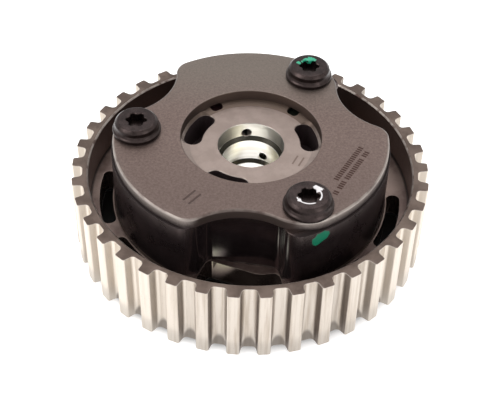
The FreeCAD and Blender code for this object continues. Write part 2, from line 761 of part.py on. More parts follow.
def make_strip(name, back, wall, turn):
    """Strip between its flat back and the wall's radius that it wipes."""
    body = add_body(name)
    half = size("seal_width") / 2
    swing = math.degrees(math.asin(half / wall))
    side = [(polar(wall, swing), (back, half))]
    edges = both_sides([], side)
    edges.append(Part.LineSegment(vec((back, half)), vec((back, -half))))
    edges.append(arc((0, 0), wall, -swing, swing))
    sketch = add_sketch(body, name + "_outline", edges, level=ROTOR_BOTTOM)
    add_pad(body, name + "_bar", sketch, ROTOR_HEIGHT)
    body.Placement = Placement(Vector(0, 0, 0), Rotation(Vector(0, 0, 1), turn))
    return body


def make_leaf(name, floor, back, turn):
    """Leaf whose ends lie on the slot's floor and whose middle presses the strip's back."""
    body = add_body(name)
    side = math.copysign(1, back - floor)
    thick = side * size("leaf_thickness")
    crest = back - side * size("seal_gap")
    low = rotor_bottom + size("leaf_end_gap")
    high = rotor_top - size("leaf_end_gap")
    middle = (low + high) / 2
    sketch = add_sketch(body, name + "_profile", plane="XZ_Plane")
    near = [vec(spot) for spot in ((floor, low), (crest - thick, middle), (floor, high))]
    far = [vec(spot) for spot in ((floor + thick, low), (crest, middle), (floor + thick, high))]
    sketch.addGeometry(Part.Arc(*near), False)
    sketch.addGeometry(Part.Arc(*far), False)
    sketch.addGeometry(Part.LineSegment(near[0], far[0]), False)
    sketch.addGeometry(Part.LineSegment(near[2], far[2]), False)
    leaf = add_pad(body, name + "_leaf", sketch, "Sizes.seal_width - 4 * Sizes.seal_gap")
    leaf.Midplane = True
    body.Placement = Placement(Vector(0, 0, 0), Rotation(Vector(0, 0, 1), turn))
    return body


def make_seals():
    bodies = []
    for index in range(LOBES):
        wall = chamber_radius - size("seal_gap")
        back = wall - size("seal_height")
        turn = vane_angle + LOBE_STEP * index
        bodies.append(make_strip(f"vane_seal_{index + 1}", back, wall, turn))
        floor = vane_tip - size("seal_slot_depth")
        bodies.append(make_leaf(f"vane_seal_spring_{index + 1}", floor, back, turn))
        wall = size("rotor_hub_radius") + size("seal_gap")
        back = wall + size("seal_height")
        turn = stator_seal_angle + LOBE_STEP * index
        bodies.append(make_strip(f"stator_seal_{index + 1}", back, wall, turn))
        floor = hub_hole + size("seal_slot_depth")
        bodies.append(make_leaf(f"stator_seal_spring_{index + 1}", floor, back, turn))
    return bodies


# Lock pin with its spring, cap and bush, all on one axis through a vane
pin_spot = vec(polar(size("pin_circle_radius"), vane_angle))


def turned_part(name, corners):
    body = add_body(name)
    add_turning(body, "Revolution", name + "_turning", corners)
    body.Placement = Placement(pin_spot, Rotation())
    return body


def make_lock():
    low = web_top + size("pin_lift")
    high = low + size("pin_length")
    radius = size("pin_radius")
    nose = size("pin_nose_radius")
    step = low + size("pin_nose_length")
    pocket = size("spring_pocket_radius")
    floor = high - size("spring_pocket_depth")
    cut = size("bore_mouth_break")
    pin = turned_part("lock_pin", [
        (0, low, 0), (nose - cut, low, 0), (nose, low + cut, 0), (nose, step, 0), (radius, step, 0),
        (radius, high, 0), (pocket, high, 0), (pocket, floor, 0), (0, floor, 0),
    ])
    cap_low = rotor_top - size("cap_thickness")
    seat = radius + size("pin_gap")
    vent = size("cap_vent_radius")
    cap = turned_part("lock_spring_cap", [
        (vent, cap_low, 0), (seat, cap_low, 0), (seat, rotor_top, 0), (vent, rotor_top, 0),
    ])
    hole = nose + size("pin_gap")
    bush_low = web_top - size("bush_length")
    bush = turned_part("lock_bush", [
        (hole, bush_low, 0), (size("bush_radius"), bush_low, 0), (size("bush_radius"), web_top, 0),
        (hole + cut, web_top, 0), (hole, web_top - cut, 0),
    ])
    return [pin, cap, bush, make_coil(floor, cap_low)]


def make_coil(low, high):
    """Round wire wound into a helix between the pin's pocket and the cap."""
    wire = size("spring_wire_radius")
    coil = size("spring_radius")
    length = high - low - 2 * wire
    pitch = length / size("spring_turns")
    helix = Part.makeHelix(pitch, length, coil)
    rise = math.atan2(pitch, 2 * math.pi * coil)
    section = Part.makeCircle(wire, Vector(coil, 0, 0), Vector(0, math.cos(rise), math.sin(rise)))
    feature = doc.addObject("Part::Feature", "lock_spring")
    feature.Label = "lock_spring"
    feature.Shape = Part.Wire(helix.Edges).makePipeShell([Part.Wire([section])], True, True)
    feature.Placement = Placement(pin_spot + Vector(0, 0, low + wire), Rotation())
    return feature


# Dowels that locate the housing on the pulley's web

def make_locating_dowel(index):
    name = f"locating_dowel_{index + 1}"
    spot = polar(size("dowel_circle_radius"), dowel_angles[index])
    dowel = doc.addObject("Part::Cylinder", name)
    dowel.Label = name
    dowel.setExpression("Radius", "Sizes.dowel_radius")
    dowel.setExpression("Height", "Sizes.dowel_length")
    dowel.Placement = Placement(vec(spot), Rotation())
    dowel.setExpression(".Placement.Base.z", WEB_TOP + " - Sizes.dowel_length / 2")
    return dowel


parts = [make_pulley(), make_housing(), make_cover(), make_rotor()]
parts += [make_screw(index) for index in range(LOBES)]
parts += make_seals()
parts += make_lock()
parts += [make_locating_dowel(index) for index in range(len(dowel_angles))]
doc.recompute()

for item in doc.Objects:
    if "Invalid" in item.State or "Error" in item.State:
        raise RuntimeError(f"{item.Name} failed: {item.State}")
for item in parts:
    if item.Shape.isNull() or not item.Shape.isValid():
        raise RuntimeError(f"{item.Label} has no valid shape")

os.makedirs("parts", exist_ok=True)
for item in parts:
    item.Shape.exportStep(os.path.join("parts", item.Label + ".step"))
    print(f"{item.Label}: {item.Shape.Volume:.1f} mm3, {len(item.Shape.Solids)} solid")
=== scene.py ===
import math
import bmesh
import bpy
from mathutils import Matrix, Vector


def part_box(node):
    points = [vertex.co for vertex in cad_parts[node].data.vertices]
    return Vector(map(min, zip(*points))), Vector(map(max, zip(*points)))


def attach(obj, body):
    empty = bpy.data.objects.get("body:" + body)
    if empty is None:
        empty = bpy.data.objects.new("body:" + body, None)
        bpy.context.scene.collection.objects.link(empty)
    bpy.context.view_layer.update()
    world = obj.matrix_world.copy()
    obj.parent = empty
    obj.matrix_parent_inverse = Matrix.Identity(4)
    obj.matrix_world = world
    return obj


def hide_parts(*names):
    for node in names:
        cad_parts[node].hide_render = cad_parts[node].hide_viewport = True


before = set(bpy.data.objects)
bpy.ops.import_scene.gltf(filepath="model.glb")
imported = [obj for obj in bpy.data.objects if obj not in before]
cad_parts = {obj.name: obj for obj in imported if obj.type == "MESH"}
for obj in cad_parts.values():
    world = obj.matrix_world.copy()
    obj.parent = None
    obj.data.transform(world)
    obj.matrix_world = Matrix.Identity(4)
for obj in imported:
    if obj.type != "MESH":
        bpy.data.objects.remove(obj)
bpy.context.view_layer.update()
mm = 0.001

# Toothed rim. It is pressed and sintered from iron powder in one piece with the web, and turned to width.
# The belt runs in its thirty-eight gaps and has polished their floors and the tops of the teeth.
rim_low, rim_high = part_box("belt_pulley")
rim_width = rim_high.z - rim_low.z
teeth = 38
tooth_turn = 0.86
tooth_pitch = 360 / teeth
tip_radius = 47.67 * mm
root_radius = 44.9 * mm
rim_inner_radius = 43.3 * mm
gap_tip_half = 2.3 * mm
gap_root_half = 1.75 * mm
gap_root_round = 1.1 * mm
tooth_tip_round = 0.6 * mm
tooth_edge = 0.22 * mm
rim_edge = 0.4 * mm
round_share = 0.293  # a rounded edge's middle point lies this share of its size inwards
origin = Vector((0, 0))


def polar(radius, degrees):
    turn = math.radians(degrees)
    return Vector((radius * math.cos(turn), radius * math.sin(turn)))


def arc(centre, radius, first, last, step=3.0):
    """Points along an arc, both ends included."""
    count = max(2, math.ceil(abs(last - first) / step))
    return [centre + polar(radius, first + (last - first) * i / count) for i in range(count + 1)]


def rounded(corners, step=12.0):
    """Points of an outline through corners (x, y, round), each corner rounded."""
    points = []
    spots = [Vector(corner[:2]) for corner in corners]
    for index, here in enumerate(spots):
        radius = corners[index][2]
        if radius <= 0:
            points.append(here)
            continue
        back = (spots[index - 1] - here).normalized()
        ahead = (spots[(index + 1) % len(spots)] - here).normalized()
        half = back.angle(ahead) / 2
        centre = here + (back + ahead).normalized() * (radius / math.sin(half))
        start = here + back * (radius / math.tan(half)) - centre
        finish = here + ahead * (radius / math.tan(half)) - centre
        first = math.degrees(math.atan2(start.y, start.x))
        swing = math.degrees(math.atan2(start.cross(finish), start.dot(finish)))
        points += arc(centre, radius, first, first + swing, step)
    return points


def shifted(outline, distance):
    """Anticlockwise outline moved outwards, or inwards by a negative distance."""
    moved = []
    for index, here in enumerate(outline):
        back = (here - outline[index - 1]).normalized()
        ahead = (outline[(index + 1) % len(outline)] - here).normalized()
        side = Vector((back.y + ahead.y, -back.x - ahead.x)).normalized()
        mitre = max(0.5, side.dot(Vector((back.y, -back.x))))
        moved.append(here + side * (distance / mitre))
    return moved


def join_rings(mesh, rings, closed=True):
    """Quads between each ring of points and the next."""
    for low, high in zip(rings, rings[1:]):
        for i in range(len(low) if closed else len(low) - 1):
            j = (i + 1) % len(low)
            mesh.faces.new((low[i], low[j], high[j], high[i]))


def settle(piece):
    """The piece's modifiers made part of a plain mesh."""
    depsgraph = bpy.context.evaluated_depsgraph_get()
    data = bpy.data.meshes.new_from_object(piece.evaluated_get(depsgraph), depsgraph=depsgraph)
    piece.modifiers.clear()
    piece.data = data
    return piece


def make_piece(name, mesh, material):
    """Object from a closed mesh, its faces turned outwards."""
    bmesh.ops.remove_doubles(mesh, verts=mesh.verts, dist=1e-7)
    bmesh.ops.recalc_face_normals(mesh, faces=mesh.faces)
    data = bpy.data.meshes.new(name)
    mesh.to_mesh(data)
    mesh.free()
    data.materials.append(material)
    piece = bpy.data.objects.new(name, data)
    bpy.context.scene.collection.objects.link(piece)
    return piece


def polish(piece, sharp=38):
    """Round faces shaded smooth, flat faces kept flat right up to their rounded edges."""
    piece.data.polygons.foreach_set("use_smooth", [True] * len(piece.data.polygons))
    piece.data.set_sharp_from_angle(angle=math.radians(sharp))
    crisp = piece.modifiers.new("crisp", "WEIGHTED_NORMAL")
    crisp.keep_sharp = True
    return settle(piece)


def colour(code):
    """Shader colour from a six-digit screen colour."""
    parts = [int(code[i:i + 2], 16) / 255 for i in (0, 2, 4)]
    return tuple(((part + 0.055) / 1.055) ** 2.4 for part in parts) + (1,)


def add_node(tree, kind, feeds, **settings):
    """Node of a material, or by its full kind of any tree; feeds gives sockets a value or an output."""
    made = tree.nodes.new(kind if "Node" in kind else "ShaderNode" + kind)
    for name, value in settings.items():
        setattr(made, name, value)
    for socket, value in feeds.items():
        value = getattr(value, "output", value)
        if isinstance(value, bpy.types.NodeSocket):
            tree.links.new(value, made.inputs[socket])
        else:
            made.inputs[socket].default_value = value
    return made


def calc(tree, operation, *values):
    made = add_node(tree, "Math", dict(enumerate(values)), operation=operation)
    return Measure(tree, made.outputs[0])


class Measure:
    """Value or colour over a surface. Sums written with it become Math nodes; | takes the larger of two."""

    def __init__(self, tree, output):
        self.tree = tree
        self.output = output

    def __add__(self, other):
        return calc(self.tree, "ADD", self, other)

    def __sub__(self, other):
        return calc(self.tree, "SUBTRACT", self, other)

    def __rsub__(self, other):
        return calc(self.tree, "SUBTRACT", other, self)

    def __mul__(self, other):
        return calc(self.tree, "MULTIPLY", self, other)

    def __rtruediv__(self, other):
        return calc(self.tree, "DIVIDE", other, self)

    def __or__(self, other):
        return calc(self.tree, "MAXIMUM", self, other)

    def __abs__(self):
        return calc(self.tree, "ABSOLUTE", self)

    def step(self, low, high):
        """0 below low, 1 above high, smooth between; low may be the larger."""
        feeds = {"Value": self, "From Min": low, "From Max": high}
        made = add_node(self.tree, "MapRange", feeds, interpolation_type="SMOOTHSTEP")
        return Measure(self.tree, made.outputs[0])


def tint(mask, first, second):
    """First colour where the mask is 0, second where it is 1; a text is a screen colour."""
    first, second = (colour(paint) if isinstance(paint, str) else paint for paint in (first, second))
    mixed = add_node(mask.tree, "Mix", {0: mask, 6: first, 7: second}, data_type="RGBA")
    return Measure(mask.tree, mixed.outputs[2])


def split(tree, vector):
    """The three coordinates of a vector."""
    return [Measure(tree, output) for output in add_node(tree, "SeparateXYZ", {0: vector}).outputs]


def part_point(tree):
    """Point of the part in millimetres, its x, y and z, and its distance from the axis."""
    place = add_node(tree, "TexCoord", {}).outputs["Object"]
    point = add_node(tree, "VectorMath", {0: place, 3: 1000.0}, operation="SCALE").outputs[0]
    x, y, z = split(tree, point)
    flat = add_node(tree, "CombineXYZ", {0: x, 1: y}).outputs[0]
    radius = add_node(tree, "VectorMath", {0: flat}, operation="LENGTH").outputs["Value"]
    return point, x, y, z, Measure(tree, radius)


def flatness(tree):
    """1 on a face that looks straight up or down, 0 on an upright wall."""
    return abs(split(tree, add_node(tree, "NewGeometry", {}).outputs["Normal"])[2])


def noise(tree, point, scale, detail, roughness=0.5):
    feeds = {"Vector": point, "Scale": scale, "Detail": detail, "Roughness": roughness}
    return Measure(tree, add_node(tree, "TexNoise", feeds).outputs[0])


def new_group(name, inputs, outputs):
    """Empty node group with named float inputs and its outputs."""
    group = bpy.data.node_groups.new(name, "ShaderNodeTree")
    for label, value in inputs.items():
        socket = group.interface.new_socket(label, in_out="INPUT", socket_type="NodeSocketFloat")
        socket.default_value = value
    for label in outputs:
        group.interface.new_socket(label, in_out="OUTPUT", socket_type="NodeSocketFloat")
    given = {output.name: Measure(group, output) for output in group.nodes.new("NodeGroupInput").outputs}
    return group, given, group.nodes.new("NodeGroupOutput")


def feed(node, **values):
    """Outputs joined to the node's sockets of the same names."""
    for label, value in values.items():
        value.tree.links.new(value.output, node.inputs[label.replace("_", " ")])


def make_grain():
    """Sintered or blasted surface: soft clouds and fine pores."""
    group, given, result = new_group("metal_grain", {"Size": 0.35, "Cloud Size": 9.0}, ("Cloud", "Pores"))
    point = part_point(group)[0]
    cloud = noise(group, point, 1 / given["Cloud Size"], 5.0, 0.6)
    feed(result, Cloud=cloud, Pores=noise(group, point, 1 / given["Size"], 4.0, 0.65))
    return group


def make_edge_wear():
    """Mask on rounded edges between a flat top and an upright wall, broken up unevenly."""
    group, given, result = new_group("edge_wear", {"Amount": 1.0, "Break Up": 3.0}, ("Mask",))
    flat = flatness(group)
    uneven = noise(group, part_point(group)[0], 1 / given["Break Up"], 3.0)
    kept = uneven.step(0.3, 0.55) * given["Amount"]
    feed(result, Mask=flat.step(0.06, 0.4) * flat.step(0.995, 0.9) * kept)
    return group


metal_grain = make_grain()
edge_wear = make_edge_wear()


def new_metal(name, **fixed):
    """Material with its shader; fixed gives the values that are the same all over."""
    material = bpy.data.materials.new(name)
    material.use_nodes = True
    tree = material.node_tree
    shader = tree.nodes["Principled BSDF"]
    for label, value in fixed.items():
        shader.inputs[label].default_value = value
    return material, tree, shader


def use_group(tree, group, **values):
    """Group placed in a material; gives its outputs by name."""
    feeds = {label.replace("_", " "): value for label, value in values.items()}
    placed = add_node(tree, "Group", feeds, node_tree=group)
    return {output.name: Measure(tree, output) for output in placed.outputs}


def surface(tree, size, cloud_size, wear, break_up):
    """Clouds, pores and edge wear of one metal."""
    grain = use_group(tree, metal_grain, Size=size, Cloud_Size=cloud_size)
    rubbed = use_group(tree, edge_wear, Amount=wear, Break_Up=break_up)
    return grain["Cloud"], grain["Pores"], rubbed["Mask"]


def add_bump(height, distance):
    bump = add_node(height.tree, "Bump", {"Height": height, "Distance": distance, "Strength": 1.0})
    return Measure(height.tree, bump.outputs[0])


def make_rim_metal():
    """Bare steel: tops and floors polished by the belt, flanks brown, a dull run-out at the rear; painted
    highlight at both ends and painted shade in the corner with the web.
    """
    material, tree, shader = new_metal("belt_polished_steel", Metallic=0.75)
    point, x, y, z, radius = part_point(tree)
    cloud, pores, wear = surface(tree, 0.3, 7.0, 0.9, 2.0)
    # Upright streaks, drawn out along the axis
    drawn = add_node(tree, "VectorMath", {0: point, 1: (1.4, 1.4, 0.07)}, operation="MULTIPLY").outputs[0]
    streak = noise(tree, drawn, 0.8, 3.0, 0.55)
    floor = radius.step(45.7, 45.2)
    polished = radius.step(47.2, 47.55) | floor
    flank = tint(streak.step(0.4, 0.7), "877b72", "665c55")
    sides = tint(polished, flank, tint(streak.step(0.38, 0.72), "d9cfc4", "c0b3a5"))
    # Painted highlight: both ends of the ring are painted paler, as in the photograph
    lit_ends = x.step(-6.0, -34.0) | x.step(20.0, 42.0)
    sides = tint(lit_ends * 0.65, sides, "f4eadd")
    # Dull run-out with an arched top, where no belt reaches
    share = calc(tree, "ARCTAN2", y, x) * (teeth / math.tau) + (1000.0 - tooth_turn / tooth_pitch)
    across = calc(tree, "FRACT", share) - 0.5
    level = z + across * across * 42.0
    sides = tint(level.step(4.8, 3.0) * floor * 0.75, sides, "6f655d")
    # The inner wall is brown; its corner with the web is painted black as painted shade
    inner = radius.step(44.2, 43.9)
    sides = tint(inner, sides, "6e5a53")
    sides = tint(inner * z.step(12.7, 12.1), sides, "2a211e")
    upright = flatness(tree).step(0.97, 0.8)
    paint = tint(upright, tint(cloud.step(0.38, 0.62), "564942", "6b5d55"), sides)
    paint = tint(wear * 0.75, paint, "d6cdc4")
    paint = tint(pores.step(0.62, 0.72) * 0.35, paint, "4b3d36")
    rough = 0.5 - polished * upright * 0.17 + streak * 0.12
    feed(shader, Base_Color=paint, Roughness=rough, Normal=add_bump(pores * 0.6 + streak, 0.00002))
    return material


def tooth_outline():
    """One tooth from the middle of a gap to the middle of the next, about the X axis."""
    lip = math.sqrt(tip_radius ** 2 - gap_tip_half ** 2)
    half = [Vector((root_radius, 0))]
    corners = [(root_radius, 0, 0), (root_radius, gap_root_half, gap_root_round),
               (lip, gap_tip_half, tooth_tip_round), (lip, 2 * gap_tip_half, 0)]
    half += rounded(corners, 15)[1:-1]
    turn = Matrix.Rotation(math.radians(-tooth_pitch / 2), 2)
    left = [turn @ point for point in half]
    middle = [Vector((tip_radius, 0))]
    right = [Vector((point.x, -point.y)) for point in reversed(left)]
    return left + middle + right


def make_tooth():
    """Sector of the rim with one tooth; its two ends meet the next sectors."""
    mesh = bmesh.new()
    outline = tooth_outline()
    ends = [polar(1, -tooth_pitch / 2), polar(1, tooth_pitch / 2)]
    sides = []
    for index, here in enumerate(outline):
        back = here - outline[max(0, index - 1)]
        ahead = outline[min(len(outline) - 1, index + 1)] - here
        along = back.normalized() + ahead.normalized()
        sides.append(Vector((along.y, -along.x)).normalized())
    sides[0], sides[-1] = ends
    rings = []
    middle = tooth_edge * round_share
    steps = [(tooth_edge, 0), (middle, middle), (0, tooth_edge)]
    steps += [(inset, rim_width - rise) for inset, rise in reversed(steps)]
    for inset, height in steps:
        spots = [here - side * inset for here, side in zip(outline, sides)]
        rings.append([mesh.verts.new((*spot, height)) for spot in spots])
    turns = [math.degrees(math.atan2(here.y, here.x)) for here in outline]
    inner = [(rim_edge, rim_width), (0, rim_width - rim_edge), (0, 0)]
    for back, height in inner:
        spots = [polar(rim_inner_radius + back, turn) for turn in turns]
        rings.append([mesh.verts.new((*spot, height)) for spot in spots])
    rings.append(rings[0])
    join_rings(mesh, rings, closed=False)
    return mesh


def repeat_tree():
    """Copies of the piece set evenly round the Z axis."""
    tree = bpy.data.node_groups.new("repeat_round_axis", "GeometryNodeTree")
    tree.is_modifier = True
    sockets = {}
    for label, kind in (("Geometry", "Geometry"), ("Count", "Int"), ("Turn", "Float"),
                        ("Weld", "Float"), ("Metal", "Material")):
        made = tree.interface.new_socket(label, in_out="INPUT", socket_type="NodeSocket" + kind)
        sockets[label] = made.identifier
    tree.interface.new_socket("Geometry", in_out="OUTPUT", socket_type="NodeSocketGeometry")
    given = tree.nodes.new("NodeGroupInput").outputs

    def put(kind, **feeds):
        return add_node(tree, "GeometryNode" + kind, feeds).outputs[0]

    step = calc(tree, "DIVIDE", math.tau, given["Count"])
    turn = calc(tree, "MULTIPLY_ADD", put("InputIndex"), step, given["Turn"])
    spin = add_node(tree, "CombineXYZ", {"Z": turn}).outputs[0]
    spots = put("Points", Count=given["Count"])
    copies = put("InstanceOnPoints", Points=spots, Instance=given["Geometry"], Rotation=spin)
    real = put("RealizeInstances", Geometry=copies)
    welded = put("MergeByDistance", Geometry=real, Distance=given["Weld"])
    dressed = put("SetMaterial", Geometry=welded, Material=given["Metal"])
    tree.links.new(dressed, tree.nodes.new("NodeGroupOutput").inputs[0])
    return tree, sockets


repeat_round_axis, repeat_sockets = repeat_tree()


def repeat(piece, count, turn, material):
    """The piece set count times round the axis, as one plain mesh."""
    modifier = piece.modifiers.new("repeat", "NODES")
    values = {"Count": count, "Turn": math.radians(turn), "Weld": 0.5e-6, "Metal": material}
    modifier.node_group = repeat_round_axis
    for label, value in values.items():
        modifier[repeat_sockets[label]] = value
    return settle(piece)


rim_metal = make_rim_metal()
toothed_rim = repeat(make_piece("toothed_rim", make_tooth(), rim_metal), teeth, tooth_turn, rim_metal)
polish(toothed_rim)
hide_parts("belt_pulley")
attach(toothed_rim, "pulley_body")

# Web of the pulley, one piece with the rim: a flat disc with two long windows beyond each lobe of the
# housing and one below each hollow. Its hub closes the chambers from behind and takes the three screws.
web_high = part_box("stator_housing")[0].z
web_low = 4.5 * mm
boss_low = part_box("rotor")[0].z
web_edge = 0.25 * mm
web_overlap = 0.15 * mm
window_inner = 37.4 * mm
window_outer = 40.85 * mm
hollow_window_outer = 38 * mm
lobe_turns = (85, 205, 325)
hollow_turns = (25, 145, 265)
hollow_start = -17.4
hollow_end = 20.4
hollow_near = 27.6 * mm
hollow_far = 29.6 * mm
screw_circle = 30 * mm
screw_turns = (58.8, 178.8, 298.8)
thread_radius = 3.0 * mm
window_corner = 1.6 * mm
window_half = 15
window_side = 19.5
window_inset = 0.9
ledge_start = 0.6 * mm
ledge_end = 1.7 * mm
bush_circle = 25 * mm
bush_turn = 231.4
bush_opening = 1.3 * mm
bush_wall = 2.8 * mm
journal_hole = 15.06 * mm
boss_radius = 20 * mm


def circle(radius, centre=origin, count=96):
    return [centre + polar(radius, 360 * i / count) for i in range(count)]


def turned_by(outline, degrees):
    turn = Matrix.Rotation(math.radians(degrees), 2)
    return [turn @ point for point in outline]


def without_doubles(points):
    kept = []
    for point in points:
        if not kept or (point - kept[-1]).length > 1e-6:
            kept.append(point)
    return kept[:-1] if (kept[0] - kept[-1]).length < 1e-6 else kept


def plate(outer, outer_profile, holes=()):
    """Solid between outlines; each outline carries a wall through (outward shift, height) pairs."""
    mesh = bmesh.new()
    rims = {}
    levels = (outer_profile[0][1], outer_profile[-1][1])
    for outline, profile in ((outer, outer_profile), *holes):
        rings = [[mesh.verts.new((*spot, height)) for spot in shifted(outline, shift)]
                 for shift, height in profile]
        join_rings(mesh, rings)
        for ring in (rings[0], rings[-1]):
            height = ring[0].co.z
            if min(abs(height - level) for level in levels) < 1e-9:
                rims.setdefault(round(height / mm, 4), []).append(ring)
            else:
                mesh.faces.new(ring)
    for height, loops in rims.items():
        edges = [mesh.edges.get((a, b)) for ring in loops for a, b in zip(ring, ring[1:] + ring[:1])]
        bmesh.ops.triangle_fill(mesh, edges=edges, use_beauty=True, normal=(0, 0, 1))
    return mesh


def straight(low, high, edge=0.0):
    """Wall profile from low to high, its two edges rounded by a hole's or, below 0, a plate's edge."""
    if edge == 0:
        return [(0, low), (0, high)]
    size = abs(edge)
    bends = [(edge, 0), (edge * round_share, size * round_share), (0, size)]
    foot = [(shift, low + rise) for shift, rise in bends]
    return foot + [(shift, high - rise) for shift, rise in reversed(bends)]


def screw_holes(radius, count, low, high):
    """Outline and plain wall of the three holes on the screw circle."""
    wall = straight(low, high)
    return [(circle(radius, polar(screw_circle, turn), count), wall) for turn in screw_turns]


def sector(inner, outer, half_span, corner):
    """Ring sector about the X axis with rounded corners."""
    far = outer - corner
    near = inner + corner
    turn_far = half_span - math.degrees(math.asin(corner / far))
    turn_near = half_span - math.degrees(math.asin(corner / near))
    points = arc(origin, outer, -turn_far, turn_far)
    points += arc(polar(far, turn_far), corner, turn_far, half_span + 90, 12)
    points += arc(polar(near, turn_near), corner, half_span + 90, turn_near + 180, 12)
    points += arc(origin, inner, turn_near, -turn_near)
    points += arc(polar(near, -turn_near), corner, 180 - turn_near, 270 - half_span, 12)
    points += arc(polar(far, -turn_far), corner, -90 - half_span, -turn_far, 12)
    return without_doubles(points)


def hollow_window():
    """Window at the foot of a hollow, about the X axis; its ledge to the wall widens along it."""
    corner = window_corner
    start = hollow_start + window_inset
    end = hollow_end - window_inset
    near = hollow_near + ledge_start
    far = hollow_far + ledge_end
    reach = hollow_window_outer - corner
    lean = math.degrees(math.asin(corner / reach))
    side = math.sqrt(reach ** 2 - corner ** 2)
    points = arc(origin, hollow_window_outer, start + lean, end - lean)
    points += arc(polar(reach, end - lean), corner, end - lean, end + 90, 12)
    points += rounded([(*polar(side, end), 0), (*polar(far, end), corner),
                       (*polar(far, hollow_end / 2), 4 * corner),
                       (*polar(near, start), corner), (*polar(side, start), 0)], 5)
    points += arc(polar(reach, start + lean), corner, start - 90, start + lean, 12)
    return without_doubles(points)


def make_web():
    through = straight(web_low, web_high, web_edge)
    holes = [(turned_by(hollow_window(), turn), through) for turn in hollow_turns]
    long_window = sector(window_inner, window_outer, window_half, window_corner)
    for turn in lobe_turns:
        holes += [(turned_by(long_window, turn + side), through) for side in (-window_side, window_side)]
    threads = screw_holes(thread_radius, 24, web_low, web_high)
    step = boss_radius - journal_hole
    hub = [(step, web_low), (step, boss_low + web_edge), (step - web_edge, boss_low),
           (web_edge, boss_low), (0, boss_low + web_edge), (0, web_high)]
    bush_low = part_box("lock_bush")[0].z
    bush_seat = [(0, web_low), (0, bush_low), (bush_wall, bush_low), (bush_wall, web_high)]
    bush = circle(bush_opening, polar(bush_circle, bush_turn), 24)
    disc = circle(rim_inner_radius + web_overlap, count=180)
    holes += threads + [(circle(journal_hole), hub), (bush, bush_seat)]
    return plate(disc, straight(web_low, web_high), holes)


def make_web_metal():
    """Bare sintered steel, brown-grey and a little oily."""
    material, tree, shader = new_metal("sintered_web_steel", Metallic=0.7)
    z, radius = part_point(tree)[3:]
    cloud, pores, wear = surface(tree, 0.3, 8.0, 0.8, 2.5)
    paint = tint(cloud.step(0.36, 0.64), "574742", "74645d")
    paint = tint(wear * 0.5, paint, "a3968d")
    paint = tint(pores.step(0.6, 0.72) * 0.4, paint, "3b302c")
    # Painted shade in the corner with the rim
    paint = tint(radius.step(42.6, 43.1) * 0.85, paint, "2a211e")
    # The rear edges of the windows are painted black and kept dull: painted shade that keeps the window
    # insides dark
    rear_edge_shade = z.step(4.51, 4.56) * z.step(5.6, 5.3)
    paint = tint(rear_edge_shade, paint, "050404")
    # Walls of the windows are burnished by the punch
    wall = flatness(tree).step(0.5, 0.2)
    rough = pores * 0.3 + 0.25
    rough = ((0.1 - rough) * wall + rough) | rear_edge_shade
    feed(shader, Base_Color=paint, Roughness=rough, Normal=add_bump(pores * (1 - wall), 0.00003))
    return material


pulley_web = polish(make_piece("pulley_web", make_web(), make_web_metal()))
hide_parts("belt_pulley")
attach(pulley_web, "pulley_body")

# Stator housing: a sintered ring with three lobes, blackened by steam and almost mirror smooth outside.
# Inside are the three oil chambers; it lies on the web between the pulley and the front cover.
housing_low, housing_high = (corner.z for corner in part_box("stator_housing"))
hub_hole = 21.56 * mm
chamber_radius = 32.4 * mm
chamber_turn = 220.4
chamber_half = 22.4
chamber_round = 1.2 * mm
seal_turn = 275.0
seal_half = 1.13 * mm
seal_floor = 24.96 * mm
housing_radius = 36.7 * mm
housing_corner = 4 * mm
bottom_round = 2 * mm
housing_edge = 0.2 * mm
foot_flare = 0.3 * mm
flare_low = housing_low + 0.1 * mm
flare_high = housing_low + 0.5 * mm
clearance_radius = 3.3 * mm


def housing_outline():
    """Three lobes; the hollow between each pair has straight sides and a leaning bottom."""
    inward = housing_radius - housing_corner
    lean = math.degrees(math.asin(housing_corner / inward))
    bend = math.sqrt(inward ** 2 - housing_corner ** 2)
    points = []
    for here in hollow_turns:
        start = here + hollow_start
        end = here + hollow_end
        points += arc(polar(inward, start - lean), housing_corner, start - lean, start + 90, 4)
        points += rounded([(*polar(bend, start), 0), (*polar(hollow_near, start), bottom_round),
                           (*polar(hollow_far, end), bottom_round), (*polar(bend, end), 0)], 5)
        points += arc(polar(inward, end + lean), housing_corner, end - 90, end + lean, 4)
        points += arc(origin, housing_radius, end + lean, start + 120 - lean, 2)
    return without_doubles(points)


def chamber_outline():
    """Hub hole with three chambers and three seal slots, as one outline."""
    points = []
    near = math.degrees(math.asin(chamber_round / (chamber_radius - chamber_round)))
    slot = math.degrees(math.asin(seal_half / hub_hole))
    deep = math.degrees(math.asin(seal_half / seal_floor))
    for index in range(3):
        turn = chamber_turn + 120 * index
        start = turn - chamber_half
        end = turn + chamber_half
        corner_low = polar(chamber_radius - chamber_round, start + near)
        corner_high = polar(chamber_radius - chamber_round, end - near)
        points.append(polar(hub_hole, start))
        points += arc(corner_low, chamber_round, start - 90, start + near, 15)
        points += arc(origin, chamber_radius, start + near, end - near, 2)
        points += arc(corner_high, chamber_round, end - near, end + 90, 15)
        middle = seal_turn + 120 * index
        points += arc(origin, hub_hole, end, middle - slot, 3)
        points += [polar(seal_floor, middle - deep), polar(seal_floor, middle + deep)]
        points += arc(origin, hub_hole, middle + slot, start + 120, 3)
    return without_doubles(points)


def make_housing():
    room = [(chamber_outline(), straight(housing_low, housing_high))]
    # A small flare at the foot, then the upright wall and its rounded top edge
    outer = [(foot_flare, housing_low), (foot_flare, flare_low), (0, flare_high)]
    outer += straight(housing_low, housing_high, -housing_edge)[3:]
    room += screw_holes(clearance_radius, 32, housing_low, housing_high)
    return plate(housing_outline(), outer, room)


def distance(tree, first, second):
    made = add_node(tree, "VectorMath", {0: first, 1: second}, operation="DISTANCE")
    return Measure(tree, made.outputs["Value"])


def together(masks):
    """One mask of all that the masks show."""
    whole = masks[0]
    for mask in masks[1:]:
        whole |= mask
    return whole


